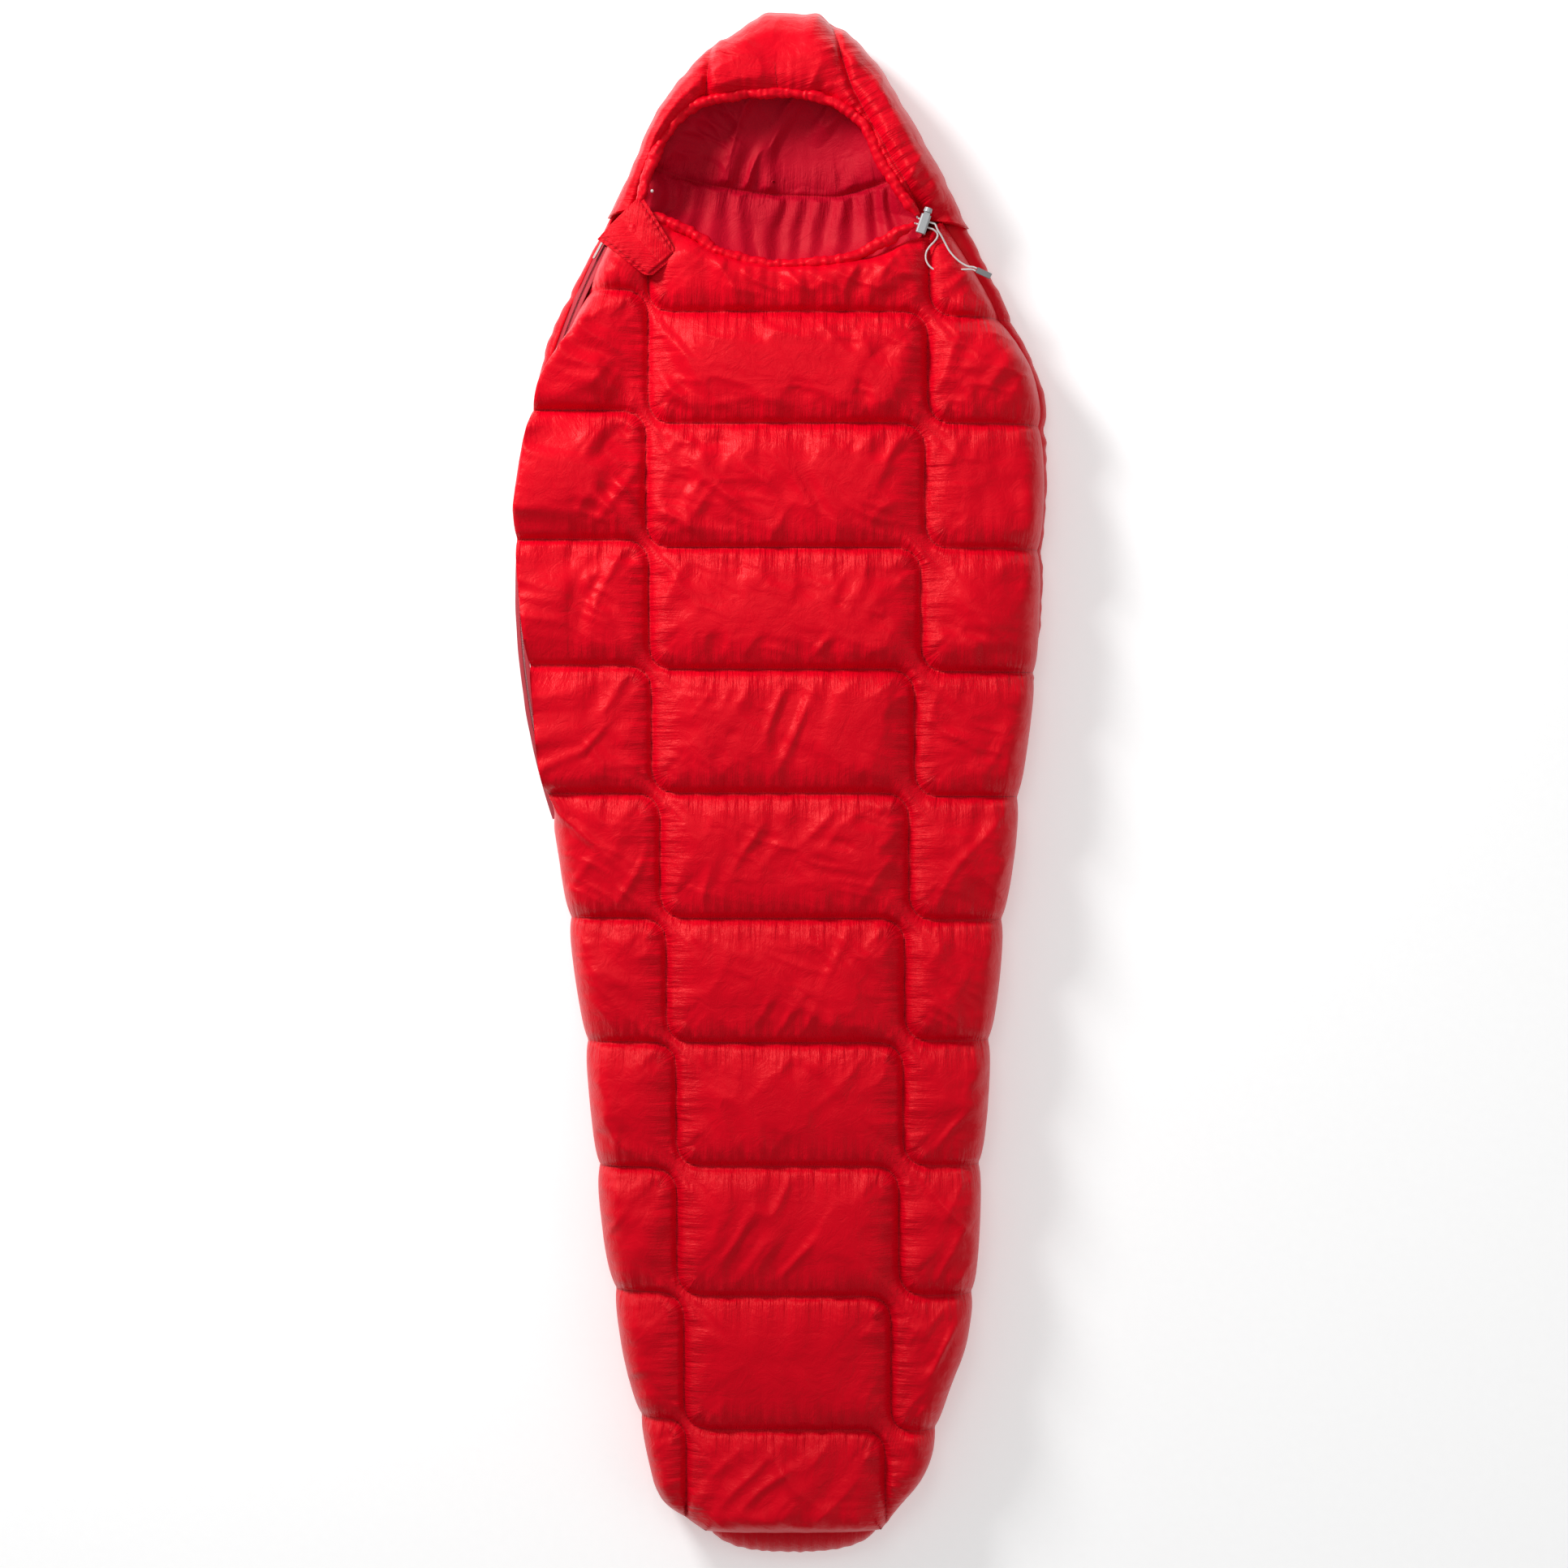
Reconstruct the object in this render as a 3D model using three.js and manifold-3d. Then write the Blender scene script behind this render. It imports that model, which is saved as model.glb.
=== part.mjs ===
// A mummy sleeping bag, zipped shut and lying flat on its back.
// Millimetres. +X is to the right, +Y towards the hood and +Z up from the ground.
// The origin is on the ground under the middle of the bag.
//
// The bag is two quilts with a flattened hollow between them. Each quilt is a shell fabric,
// a layer of filling and a lining. The back quilt runs on under the head, and the hood
// closes over it with three panels round the face opening. The left side opens with a coil
// zip, and the corner of the front quilt beside it folds back along a slanting line.

import * as THREE from "three";
import { mergeVertices } from "three/addons/utils/BufferGeometryUtils.js";
import Module from "manifold-3d";

// Overall sizes. Places along the bag are distances from the hood end or from the foot end.
const TOTAL_LENGTH = 2200;
const CROWN_WIDTH = 166;
const CROWN_FROM_HEAD = 21;
const HOOD_WIDTH = 422;
const HOOD_FROM_HEAD = 207;
const NECK_WIDTH = 616;
const NECK_FROM_HEAD = 391;
const SHOULDER_WIDTH = 760;
const SHOULDER_FROM_HEAD = 680;
const HIP_WIDTH = 666;
const HIP_FROM_HEAD = 1140;
const KNEE_WIDTH = 558;
const KNEE_FROM_FOOT = 600;
const CALF_WIDTH = 530;
const CALF_FROM_FOOT = 428;
const FOOT_WIDTH = 404;
const FOOT_FROM_FOOT = 140;
const TOE_WIDTH = 262;
const TOE_FROM_FOOT = 37;
const HEAD_END_WIDTH = 76;
const FOOT_END_WIDTH = 190;
const FOOT_SWAY = 12;

// Layers, from the ground up.
const SKIN = 1.5;
const CLEARANCE = 0.4;
const BACK_LOFT = 26;
const INNER_HEIGHT = 30;
const FRONT_EDGE_LOFT = 22;
const FRONT_CROWN = 26;
const FOOT_CROWN_SHARE = 0.35;
const NECK_CROWN_DROP = 0.35;
const NECK_SLOPE_FROM_HEAD = 600;
const NECK_SLOPE_LENGTH = 350;
const EDGE_INSET = 5;

// The zip lies on one arc of a circle, its tape plane leaning in towards the bag.
// It runs through three points, each so far in from the left edge of the outline.
const ZIP_TOP_FROM_HEAD = 305;
const ZIP_TOP_INSET = 26.27;
const ZIP_SHOULDER_INSET = 12.16;
const ZIP_END_INSET = 6.68;
const ZIP_LEAN = THREE.MathUtils.degToRad(60);
const ZIP_RISE = 24.2;
const TAPE_WIDTH = 13;
const TAPE_THICKNESS = 1;
const COIL_WIDTH = 2.4;
const COIL_THICKNESS = 3;
const COIL_PARTING = 1.4;
const STOP_LENGTH = 6;
const SLIDER_LENGTH = 18;
const SLIDER_WIDTH = 13;
const SLIDER_WALL = 1.5;
const SLIDER_WEB = 0.8;
const SLIDER_CLEARANCE = 0.4;
const SLIDER_FROM_TOP = 18;
const SLIDER_MARGIN = 3;
const STOP_EXTRA = 2;
const PULL_LENGTH = 34;
const PULL_WIDTH = 7;
const PULL_THICKNESS = 1.6;
const BAIL_BAR = 1.4;
const EYE_WALL = 1.1;
const PULL_NECK = 5;
const PULL_CLEARANCE = 0.4;
const ZIP_END_MARGIN = 48;
const DRAFT_TUBE_SHARE = 0.8;
const DRAFT_TUBE_INSET = 22;
const DRAFT_TUBE_LOW_MARGIN = 80;
const DRAFT_TUBE_HIGH_MARGIN = 30;

// The corner of the front quilt turns back about a straight line from the collar to the zip.
const FOLD_TOP = new THREE.Vector2(130, 332);
const FOLD_END_FROM_HEAD = 1139;
const FOLD_END_INSET = 6;
const FOLD_GAP = 1.2;
const COLLAR_DIP = 41;
const COLLAR_RISE = 42;
const PIECE_GAP = 2;
const FOLD_START_SHARE = 0.02;

// The face opening, as points round its rim from the zip over the crown to the cord lock.
// The second value of each is its distance from the hood end.
const RIM = [[-196, 268], [-187, 236], [-165, 186], [-122, 143], [-62, 130], [0, 130],
  [62, 138], [108, 172], [134, 222], [152, 256]];
const RIM_RISE = 22.3;
const FACE_FROM_HEAD = 230;
const TUNNEL_DIAMETER = 13;
const TUNNEL_CLEARANCE = 0.55;
const TUNNEL_GAP = 3;
const TUNNEL_END_INSET = 12;
const HOOD_RISE = 18;
const HOOD_START_LEFT = 270;
const HOOD_START_RIGHT = 272;
const HOOD_EDGE_INSET = 2;
const HOOD_SKIN = 2;
const HOOD_REACH = 190;
const HOOD_SEAM_GAP = 0.0015;
const HOOD_LOFT = 16;
const HOOD_SEAMS = [0.36, 0.66];

// Drawcord, cord lock and cord end.
const CORD_DIAMETER = 2.5;
const CORD_PITCH = 8;
const CORD_STUB = 3;
const CORD_STOP_SHARE = 2;
const LOCK_AT = new THREE.Vector3(198, 305, -2);
const LOCK_TURN = THREE.MathUtils.degToRad(-19);
const LOCK_WIDTH = 14;
const LOCK_LENGTH = 27;
const LOCK_DEPTH = 11;
const LOCK_WALL = 2.2;
const LOCK_TRAVEL = 7;
const BUTTON_TRAVEL = 4;
const BUTTON_LENGTH = 6;
const BUTTON_FLARE = 0.6;
const BARREL_ROUND = 3;
const SLOT_LAND = 2.2;
const PLUNGER_CLEARANCE = 0.3;
const SPRING_WIRE = 0.7;
const SPRING_TURNS = 3;
const CORD_END_AT = new THREE.Vector3(283.5, 375.5, -6.6);
const CORD_END_SIZE = new THREE.Vector3(22, 8, 4);
const CORD_END_PITCH = 3.8;
const CORD_LEAD = 5;
const CORD_END_TURN = THREE.MathUtils.degToRad(-24.8);

// Where the two free cords lie: X, distance from the hood end, and height over the lock.
const UPPER_TAIL = [[218, 315.5, -1], [222.5, 322, -3], [228, 332, -5.4],
  [234.5, 343.5, -6.8], [243, 353.5, -7.2], [252, 361, -7.2], [261, 365.6, -6.8]];
const LOWER_TAIL = [[217.5, 320, -2.4], [217, 325.5, -3.8], [212.5, 331.5, -5],
  [206, 338.5, -5.6], [201.5, 347, -5.8], [201.5, 356.5, -5.8], [206, 365, -6],
  [213.5, 370.5, -6.4], [224, 373, -6.7], [236, 372.6, -6.8], [248, 370.6, -6.8],
  [260, 370, -6.7]];

// Flap over the top of the zip.
const FLAP_LENGTH = 98;
const FLAP_WIDTH = 72;
const FLAP_THICKNESS = 2.5;
const FLAP_TURN = THREE.MathUtils.degToRad(-45);
const PATCH_SIZE = new THREE.Vector2(34, 26);
const PATCH_THICKNESS = 1.2;
const PATCH_END_MARGIN = 8;
const FLAP_HINGE = new THREE.Vector2(3.3, 5);
const FLAP_ROUND = 30;
const FLAP_PADDING = 4;

// Draft collar across the neck, inside.
const DRAFT_COLLAR_WIDTH = 74;
const DRAFT_COLLAR_HEIGHT = 12;
const DRAFT_COLLAR_FROM_HEAD = 255;
const DRAFT_COLLAR_INSET = 48;

// Foot panel.
const FOOT_PANEL_THICKNESS = 13;
const FOOT_PANEL_DROP = 5.7;
const FOOT_PANEL_ROUND = 24;
const WALL_THICKNESS = 9;

const SHELL_RED = 0xd20f26;
const CENTRE_RED = 0xdd1029;
const LINING_RED = 0x8f0d1c;
const FILL_WHITE = 0xf1efe9;
const TAPE_RED = 0xa60f20;
const COIL_RED = 0x8c0c1a;
const HARDWARE_GREY = 0x8f9497;
const CORD_GREY = 0xd9d2d0;

const wasm = await Module();
wasm.setup();

const group = new THREE.Group();

function add(name, geometry, color, roughness = 0.5, metalness = 0) {
  const mesh = new THREE.Mesh(geometry, new THREE.MeshStandardMaterial({ color, roughness, metalness }));
  mesh.name = name;
  group.add(mesh);
  return mesh;
}

// Heights of the layers.
const backFillTop = SKIN + CLEARANCE + BACK_LOFT;
const backTop = backFillTop + CLEARANCE + SKIN;
const frontUnder = backTop + INNER_HEIGHT;
const frontFillUnder = frontUnder + SKIN + CLEARANCE;
const frontEdgeTop = frontFillUnder + FRONT_EDGE_LOFT;
const zipHeight = backTop + ZIP_RISE;
const rimHeight = frontEdgeTop + RIM_RISE;
const hoodPeak = rimHeight + HOOD_RISE;
const lockHeight = rimHeight + LOCK_AT.z;
const footPanelHeight = frontEdgeTop - FOOT_PANEL_DROP;
const draftTubeDiameter = INNER_HEIGHT * DRAFT_TUBE_SHARE;
const tunnelBore = CORD_DIAMETER + 2 * TUNNEL_CLEARANCE;

const fromHead = (distance) => TOTAL_LENGTH / 2 - distance;
const fromFoot = (distance) => distance - TOTAL_LENGTH / 2;
const headEnd = fromHead(0);
const footEnd = fromFoot(0);

// A smooth curve through points [along, value]: cubic pieces, with the slope at each point
// that of the line between its two neighbours.
function smoothThrough(points) {
  const slope = points.map((_, i) => {
    const a = points[Math.max(i - 1, 0)];
    const b = points[Math.min(i + 1, points.length - 1)];
    return (b[1] - a[1]) / (b[0] - a[0]);
  });
  return (at) => {
    const i = THREE.MathUtils.clamp(points.findIndex((p) => p[0] > at) - 1, 0, points.length - 2);
    const k = points[points.length - 1][0] <= at ? points.length - 2 : i;
    const step = points[k + 1][0] - points[k][0];
    const t = (at - points[k][0]) / step;
    const h = t * t * (3 - 2 * t);
    const rise = slope[k] * step * t * (1 - t) * (1 - t) - slope[k + 1] * step * t * t * (1 - t);
    return points[k][1] * (1 - h) + points[k + 1][1] * h + rise;
  };
}

const halfWidth = smoothThrough([
  [footEnd, FOOT_END_WIDTH / 2],
  [fromFoot(TOE_FROM_FOOT), TOE_WIDTH / 2],
  [fromFoot(FOOT_FROM_FOOT), FOOT_WIDTH / 2],
  [fromFoot(CALF_FROM_FOOT), CALF_WIDTH / 2],
  [fromFoot(KNEE_FROM_FOOT), KNEE_WIDTH / 2],
  [fromHead(HIP_FROM_HEAD), HIP_WIDTH / 2],
  [fromHead(SHOULDER_FROM_HEAD), SHOULDER_WIDTH / 2],
  [fromHead(NECK_FROM_HEAD), NECK_WIDTH / 2],
  [fromHead(HOOD_FROM_HEAD), HOOD_WIDTH / 2],
  [fromHead(CROWN_FROM_HEAD), CROWN_WIDTH / 2],
  [headEnd, HEAD_END_WIDTH / 2],
]);
const ease = (t) => THREE.MathUtils.smoothstep(t, 0, 1);
const sway = (y) => FOOT_SWAY * ease((fromHead(HIP_FROM_HEAD) - y) / (TOTAL_LENGTH - HIP_FROM_HEAD));
const leftEdge = (y, inset = 0) => sway(y) - halfWidth(y) + inset;
const rightEdge = (y, inset = 0) => sway(y) + halfWidth(y) - inset;

// The underside of the front shell: highest along the middle, and lower at the foot and neck.
function frontSurface(x, y) {
  const across = (x - sway(y)) / halfWidth(y);
  const foot = FOOT_CROWN_SHARE + (1 - FOOT_CROWN_SHARE) * ease((y - footEnd) / CALF_FROM_FOOT);
  const neck = 1 - NECK_CROWN_DROP * ease((NECK_SLOPE_FROM_HEAD - (headEnd - y)) / NECK_SLOPE_LENGTH);
  return frontEdgeTop + FRONT_CROWN * foot * neck * Math.max(0, 1 - across * across);
}

// A closed solid through rings of points. A ring goes out along one line and back along
// another with as many points, and each end is closed between those two lines.
// The second half of a ring is split along the other diagonal, so that the top of one layer
// and the underside of the next have the same facets.
function loft(rings) {
  const size = rings[0].length;
  const points = rings.flat();
  const faces = [];
  for (let i = 0; i < rings.length - 1; i += 1) {
    for (let k = 0; k < size; k += 1) {
      const next = (k + 1) % size;
      const a = i * size + k;
      const b = i * size + next;
      if (k < size / 2) faces.push(a, b, a + size, b, b + size, a + size);
      else faces.push(a, b, b + size, a, b + size, a + size);
    }
  }
  const last = points.length - size;
  for (let k = 0; k < size / 2 - 1; k += 1) {
    const [a, b, c, d] = [k, k + 1, size - 2 - k, size - 1 - k];
    faces.push(a, c, b, a, d, c);
    faces.push(last + a, last + b, last + c, last + a, last + c, last + d);
  }
  const geometry = new THREE.BufferGeometry();
  const places = points.flatMap((p) => p.toArray());
  geometry.setAttribute("position", new THREE.Float32BufferAttribute(places, 3));
  geometry.setIndex(faces);
  return outward(geometry);
}

// Turns every face of a closed geometry over if its volume comes out negative.
function outward(geometry) {
  const p = geometry.attributes.position;
  const index = geometry.index.array;
  const corner = [new THREE.Vector3(), new THREE.Vector3(), new THREE.Vector3()];
  let volume = 0;
  for (let i = 0; i < index.length; i += 3) {
    corner.forEach((c, k) => c.fromBufferAttribute(p, index[i + k]));
    volume += corner[0].dot(corner[1].cross(corner[2]));
  }
  if (volume < 0) geometry.setIndex(Array.from(index).reverse());
  geometry.computeVertexNormals();
  return geometry;
}

// A layer of a quilt. Each row is a line of plan points, and under and over give its heights.
function quilt(rows, under, over) {
  return loft(rows.map((row) => [
    ...row.map((p) => new THREE.Vector3(p.x, p.y, under(p.x, p.y))),
    ...row.map((p) => new THREE.Vector3(p.x, p.y, over(p.x, p.y))).reverse(),
  ]));
}

const level = (height) => () => height;
const raised = (surface, by) => (x, y) => surface(x, y) + by;

// Numbers from one value to another, closer together at both ends.
const spread = (from, to, count) => Array.from({ length: count + 1 }, (_, i) =>
  from + (to - from) * (0.5 - 0.5 * Math.cos((Math.PI * i) / count)));
const evenly = (from, to, count) => Array.from({ length: count + 1 }, (_, i) =>
  from + ((to - from) * i) / count);
const lineOf = (from, to, count) => evenly(0, 1, count).map((t) => from.clone().lerp(to, t));

// Back quilt: shell on the ground, filling, and lining.
const bodyFoot = footEnd + FOOT_PANEL_THICKNESS + CLEARANCE;
function backRows(inset) {
  return spread(bodyFoot, headEnd - inset, 22).map((y) => lineOf(
    new THREE.Vector2(leftEdge(y, inset), y),
    new THREE.Vector2(rightEdge(y, inset), y),
    4,
  ));
}
const backFillUnder = SKIN + CLEARANCE;
const backLiningUnder = backFillTop + CLEARANCE;
const backInner = backRows(EDGE_INSET);
add("back_shell", quilt(backRows(0), level(0), level(SKIN)), SHELL_RED, 0.45);
add("back_fill", quilt(backInner, level(backFillUnder), level(backFillTop)), FILL_WHITE, 0.95);
add("back_lining", quilt(backInner, level(backLiningUnder), level(backTop)), LINING_RED, 0.5);

// The zip line in plan. The angle is zero where the zip runs along the bag, and it is
// positive towards the hood. inward moves the point towards the middle of the bag.
function centreThrough(a, b, c) {
  const ab = b.clone().sub(a);
  const ac = c.clone().sub(a);
  const twice = 2 * ab.cross(ac);
  return new THREE.Vector2(
    a.x + (ac.y * ab.lengthSq() - ab.y * ac.lengthSq()) / twice,
    a.y + (ab.x * ac.lengthSq() - ac.x * ab.lengthSq()) / twice,
  );
}
const zipPass = [
  [ZIP_TOP_FROM_HEAD, ZIP_TOP_INSET],
  [SHOULDER_FROM_HEAD, ZIP_SHOULDER_INSET],
  [FOLD_END_FROM_HEAD, ZIP_END_INSET],
].map(([distance, inset]) => new THREE.Vector2(leftEdge(fromHead(distance), inset), fromHead(distance)));
const zipCentre = centreThrough(...zipPass);
const zipRadius = zipCentre.distanceTo(zipPass[0]);
const zipAngle = (y) => Math.asin((y - zipCentre.y) / zipRadius);
const zipPoint = (angle, inward = 0) => new THREE.Vector2(
  zipCentre.x - (zipRadius - inward) * Math.cos(angle),
  zipCentre.y + (zipRadius - inward) * Math.sin(angle),
);
const zipTop = zipAngle(fromHead(ZIP_TOP_FROM_HEAD));
const turnFor = (length) => length / zipRadius;

// A strip along the zip arc. Its section is given across the tape, where positive is
// towards the front quilt, and through it, where positive is out of the bag.
function alongZip(section, from, to, steps) {
  return loft(evenly(from, to, steps).map((angle) => section.map(([across, through]) => {
    const inward = across * Math.cos(ZIP_LEAN) - through * Math.sin(ZIP_LEAN);
    const plan = zipPoint(angle, inward);
    const up = across * Math.sin(ZIP_LEAN) + through * Math.cos(ZIP_LEAN);
    return new THREE.Vector3(plan.x, plan.y, zipHeight + up);
  })));
}
const strip = (from, to, thickness) => [
  [from, -thickness / 2], [to, -thickness / 2], [to, thickness / 2], [from, thickness / 2],
];

// The front quilt. Its corner beside the zip is a quilt of its own, and the fold is the
// straight line between them.
const foldTop = new THREE.Vector2(FOLD_TOP.x, fromHead(FOLD_TOP.y));
const foldEndY = fromHead(FOLD_END_FROM_HEAD);
const foldEnd = new THREE.Vector2(leftEdge(foldEndY, FOLD_END_INSET), foldEndY);
const foldAlong = foldTop.clone().sub(foldEnd).normalize();
const foldAcross = new THREE.Vector2(foldAlong.y, -foldAlong.x);
const foldAt = (t, side) => foldEnd.clone().lerp(foldTop, t).addScaledVector(foldAcross, side * FOLD_GAP);
const coilFrom = COIL_PARTING / 2;
const coilTo = coilFrom + COIL_WIDTH;
const tapeFrom = coilTo + CLEARANCE;
const tapeTo = tapeFrom + TAPE_WIDTH;
const cornerLow = zipAngle(foldEnd.y) + turnFor(ZIP_END_MARGIN + PIECE_GAP);
function cornerRow(v) {
  const left = zipPoint(THREE.MathUtils.lerp(cornerLow, zipTop, v), tapeTo);
  const right = foldAt(THREE.MathUtils.lerp(FOLD_START_SHARE, 1, v), -1);
  return evenly(0, 1, 6).map((t) => {
    const p = left.clone().lerp(right, t);
    p.y -= COLLAR_DIP * 4 * t * (1 - t) * v * v;
    return p;
  });
}
const cornerRows = () => evenly(0, 1, 9).map(cornerRow);

const seamTop = foldTop.y + COLLAR_RISE;
const shoulderY = fromHead(SHOULDER_FROM_HEAD);
function frontRow(y) {
  const t = (y - foldEnd.y) / (foldTop.y - foldEnd.y);
  const left = t < 0
    ? new THREE.Vector2(leftEdge(y, EDGE_INSET), y)
    : foldAt(t, 1);
  const rise = COLLAR_RISE * ease((y - shoulderY) / (foldTop.y - shoulderY));
  return lineOf(left, new THREE.Vector2(rightEdge(y + rise, EDGE_INSET), y + rise), 6);
}
function frontRows() {
  const lower = spread(bodyFoot, foldEnd.y - PIECE_GAP, 9);
  const upper = evenly(foldEnd.y + PIECE_GAP, foldTop.y, 8);
  return [...lower, ...upper].map(frontRow);
}

function frontLayers(prefix, rows) {
  const shellUnder = raised(frontSurface, CLEARANCE);
  add(`${prefix}_lining`, quilt(rows, level(frontUnder), level(frontUnder + SKIN)), LINING_RED, 0.5);
  add(`${prefix}_fill`, quilt(rows, level(frontFillUnder), frontSurface), FILL_WHITE, 0.95);
  add(`${prefix}_shell`, quilt(rows, shellUnder, raised(shellUnder, SKIN)), CENTRE_RED, 0.45);
}
frontLayers("front", frontRows());
frontLayers("corner", cornerRows());

// Side walls, sewn between the two quilts, and the foot panel that closes the end.
function sideWall(edge, from, to, top, steps) {
  return quilt(
    spread(from, to, steps).map((y) => [edge(y, EDGE_INSET), edge(y, EDGE_INSET + WALL_THICKNESS)]
      .map((x) => new THREE.Vector2(x, y))),
    level(backTop + CLEARANCE),
    level(top),
  );
}
const wallTop = frontUnder - CLEARANCE;
const rightWallTop = seamTop - EDGE_INSET - CLEARANCE;
const leftWallTop = foldEnd.y - PIECE_GAP;
add("right_side_wall", sideWall(rightEdge, bodyFoot, rightWallTop, wallTop, 16), SHELL_RED, 0.45);
add("left_side_wall", sideWall(leftEdge, bodyFoot, leftWallTop, wallTop, 12), SHELL_RED, 0.45);

const tapeFoot = zipHeight - tapeTo * Math.sin(ZIP_LEAN) - TAPE_THICKNESS;
const zipWallOuter = -tapeTo * Math.cos(ZIP_LEAN);
add("zip_side_wall", quilt(
  evenly(zipAngle(foldEnd.y) + turnFor(PIECE_GAP), zipTop, 14).map((angle) => [
    zipPoint(angle, zipWallOuter),
    zipPoint(angle, zipWallOuter + WALL_THICKNESS),
  ]),
  level(backTop + CLEARANCE),
  level(tapeFoot - CLEARANCE),
), SHELL_RED, 0.45);

const footPanel = new THREE.Shape();
const footX = FOOT_END_WIDTH / 2;
const footRoundX = footX - FOOT_PANEL_ROUND;
const footRoundY = footPanelHeight - FOOT_PANEL_ROUND;
footPanel.moveTo(-footX, 0);
footPanel.lineTo(footX, 0);
footPanel.lineTo(footX, footRoundY);
footPanel.absarc(footRoundX, footRoundY, FOOT_PANEL_ROUND, 0, Math.PI / 2);
footPanel.absarc(-footRoundX, footRoundY, FOOT_PANEL_ROUND, Math.PI / 2, Math.PI);
const footSlab = new THREE.ExtrudeGeometry(footPanel, {
  depth: FOOT_PANEL_THICKNESS,
  bevelEnabled: false,
  curveSegments: 5,
});
footSlab.rotateX(Math.PI / 2);
footSlab.translate(sway(footEnd), footEnd + FOOT_PANEL_THICKNESS, 0);
add("foot_panel", footSlab, SHELL_RED, 0.45);

// Zip: a tape and half a coil on each side, stops, and a slider with its pull tab.
const frontLow = zipAngle(foldEnd.y) + turnFor(ZIP_END_MARGIN);
const sliderAt = zipTop - turnFor(SLIDER_FROM_TOP);
const frontHigh = sliderAt - turnFor(SLIDER_LENGTH / 2 + SLIDER_MARGIN);
const backLow = frontLow - turnFor(CLEARANCE);
const tapes = [
  ["back", -tapeTo, -tapeFrom, -coilTo, -coilFrom, backLow, zipTop],
  ["front", tapeFrom, tapeTo, coilFrom, coilTo, frontLow, frontHigh],
];
for (const [side, tapeIn, tapeOut, coilIn, coilOut, low, high] of tapes) {
  const tape = alongZip(strip(tapeIn, tapeOut, TAPE_THICKNESS), low, high, 24);
  const coil = alongZip(strip(coilIn, coilOut, COIL_THICKNESS), low, high, 24);
  add(`zip_tape_${side}`, tape, TAPE_RED, 0.7);
  add(`zip_coil_${side}`, coil, COIL_RED, 0.35);
}
const stopHeight = COIL_THICKNESS + STOP_EXTRA;
add("zip_bottom_stop", alongZip(
  strip(-coilTo, coilTo, stopHeight),
  backLow - turnFor(CLEARANCE + STOP_LENGTH),
  backLow - turnFor(CLEARANCE),
  1,
), HARDWARE_GREY, 0.3, 0.9);
add("zip_top_stop", alongZip(
  strip(-coilTo, -coilFrom, stopHeight),
  zipTop + turnFor(CLEARANCE),
  zipTop + turnFor(CLEARANCE + STOP_LENGTH),
  1,
), HARDWARE_GREY, 0.3, 0.9);

// Boolean work: a closed geometry to a solid and back.
function solid(geometry) {
  const bare = geometry.clone();
  bare.deleteAttribute("normal");
  bare.deleteAttribute("uv");
  const merged = mergeVertices(bare, 1e-4);
  return new wasm.Manifold(new wasm.Mesh({
    numProp: 3,
    vertProperties: new Float32Array(merged.attributes.position.array),
    triVerts: new Uint32Array(merged.index.array),
  }));
}
function geometryOf(body) {
  const mesh = body.getMesh();
  const geometry = new THREE.BufferGeometry();
  geometry.setAttribute("position", new THREE.BufferAttribute(Float32Array.from(mesh.vertProperties), 3));
  geometry.setIndex(Array.from(mesh.triVerts));
  geometry.computeVertexNormals();
  return geometry;
}

// Slider. Its own frame has X along the zip towards the foot, Y across the tape towards
// the front quilt, and Z out of the bag. The two plates are joined by a web that runs
// between the halves of the coil.
const sliderPlace = new THREE.Group();
const sliderPlan = zipPoint(sliderAt);
sliderPlace.position.set(sliderPlan.x, sliderPlan.y, zipHeight);
sliderPlace.quaternion.setFromRotationMatrix(new THREE.Matrix4().makeBasis(
  new THREE.Vector3(-Math.sin(sliderAt), -Math.cos(sliderAt), 0),
  new THREE.Vector3(
    Math.cos(ZIP_LEAN) * Math.cos(sliderAt),
    -Math.cos(ZIP_LEAN) * Math.sin(sliderAt),
    Math.sin(ZIP_LEAN),
  ),
  new THREE.Vector3(
    -Math.sin(ZIP_LEAN) * Math.cos(sliderAt),
    Math.sin(ZIP_LEAN) * Math.sin(sliderAt),
    Math.cos(ZIP_LEAN),
  ),
));
group.add(sliderPlace);
const plateUnder = COIL_THICKNESS / 2 + SLIDER_CLEARANCE;
const plateOver = plateUnder + SLIDER_WALL;

function block(from, to) {
  const size = to.clone().sub(from);
  return new THREE.BoxGeometry(size.x, size.y, size.z).translate(
    (from.x + to.x) / 2,
    (from.y + to.y) / 2,
    (from.z + to.z) / 2,
  );
}
const at = (x, y, z) => new THREE.Vector3(x, y, z);

// An arrow-shaped slider plate, wide at the hood end, rounded at its corners.
function sliderPlate(low, high) {
  const half = SLIDER_WIDTH / 2;
  const long = SLIDER_LENGTH / 2;
  const outline = new THREE.Shape([
    [long, -half * 0.62], [long, half * 0.62], [long * 0.6, half * 0.72], [-long * 0.3, half],
    [-long * 0.8, half * 0.8], [-long, half * 0.3], [-long, -half * 0.3], [-long * 0.8, -half * 0.8],
    [-long * 0.3, -half], [long * 0.6, -half * 0.72],
  ].map(([x, y]) => new THREE.Vector2(x, y)));
  const plate = new THREE.ExtrudeGeometry(outline, { depth: high - low, bevelEnabled: false });
  return plate.translate(0, 0, low);
}
const bailHalf = PULL_WIDTH / 2 - PULL_CLEARANCE;
const bailX = 1;
const bite = 0.2;
const bailHeight = plateOver + BAIL_BAR / 2 + PULL_CLEARANCE + PULL_THICKNESS;
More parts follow.
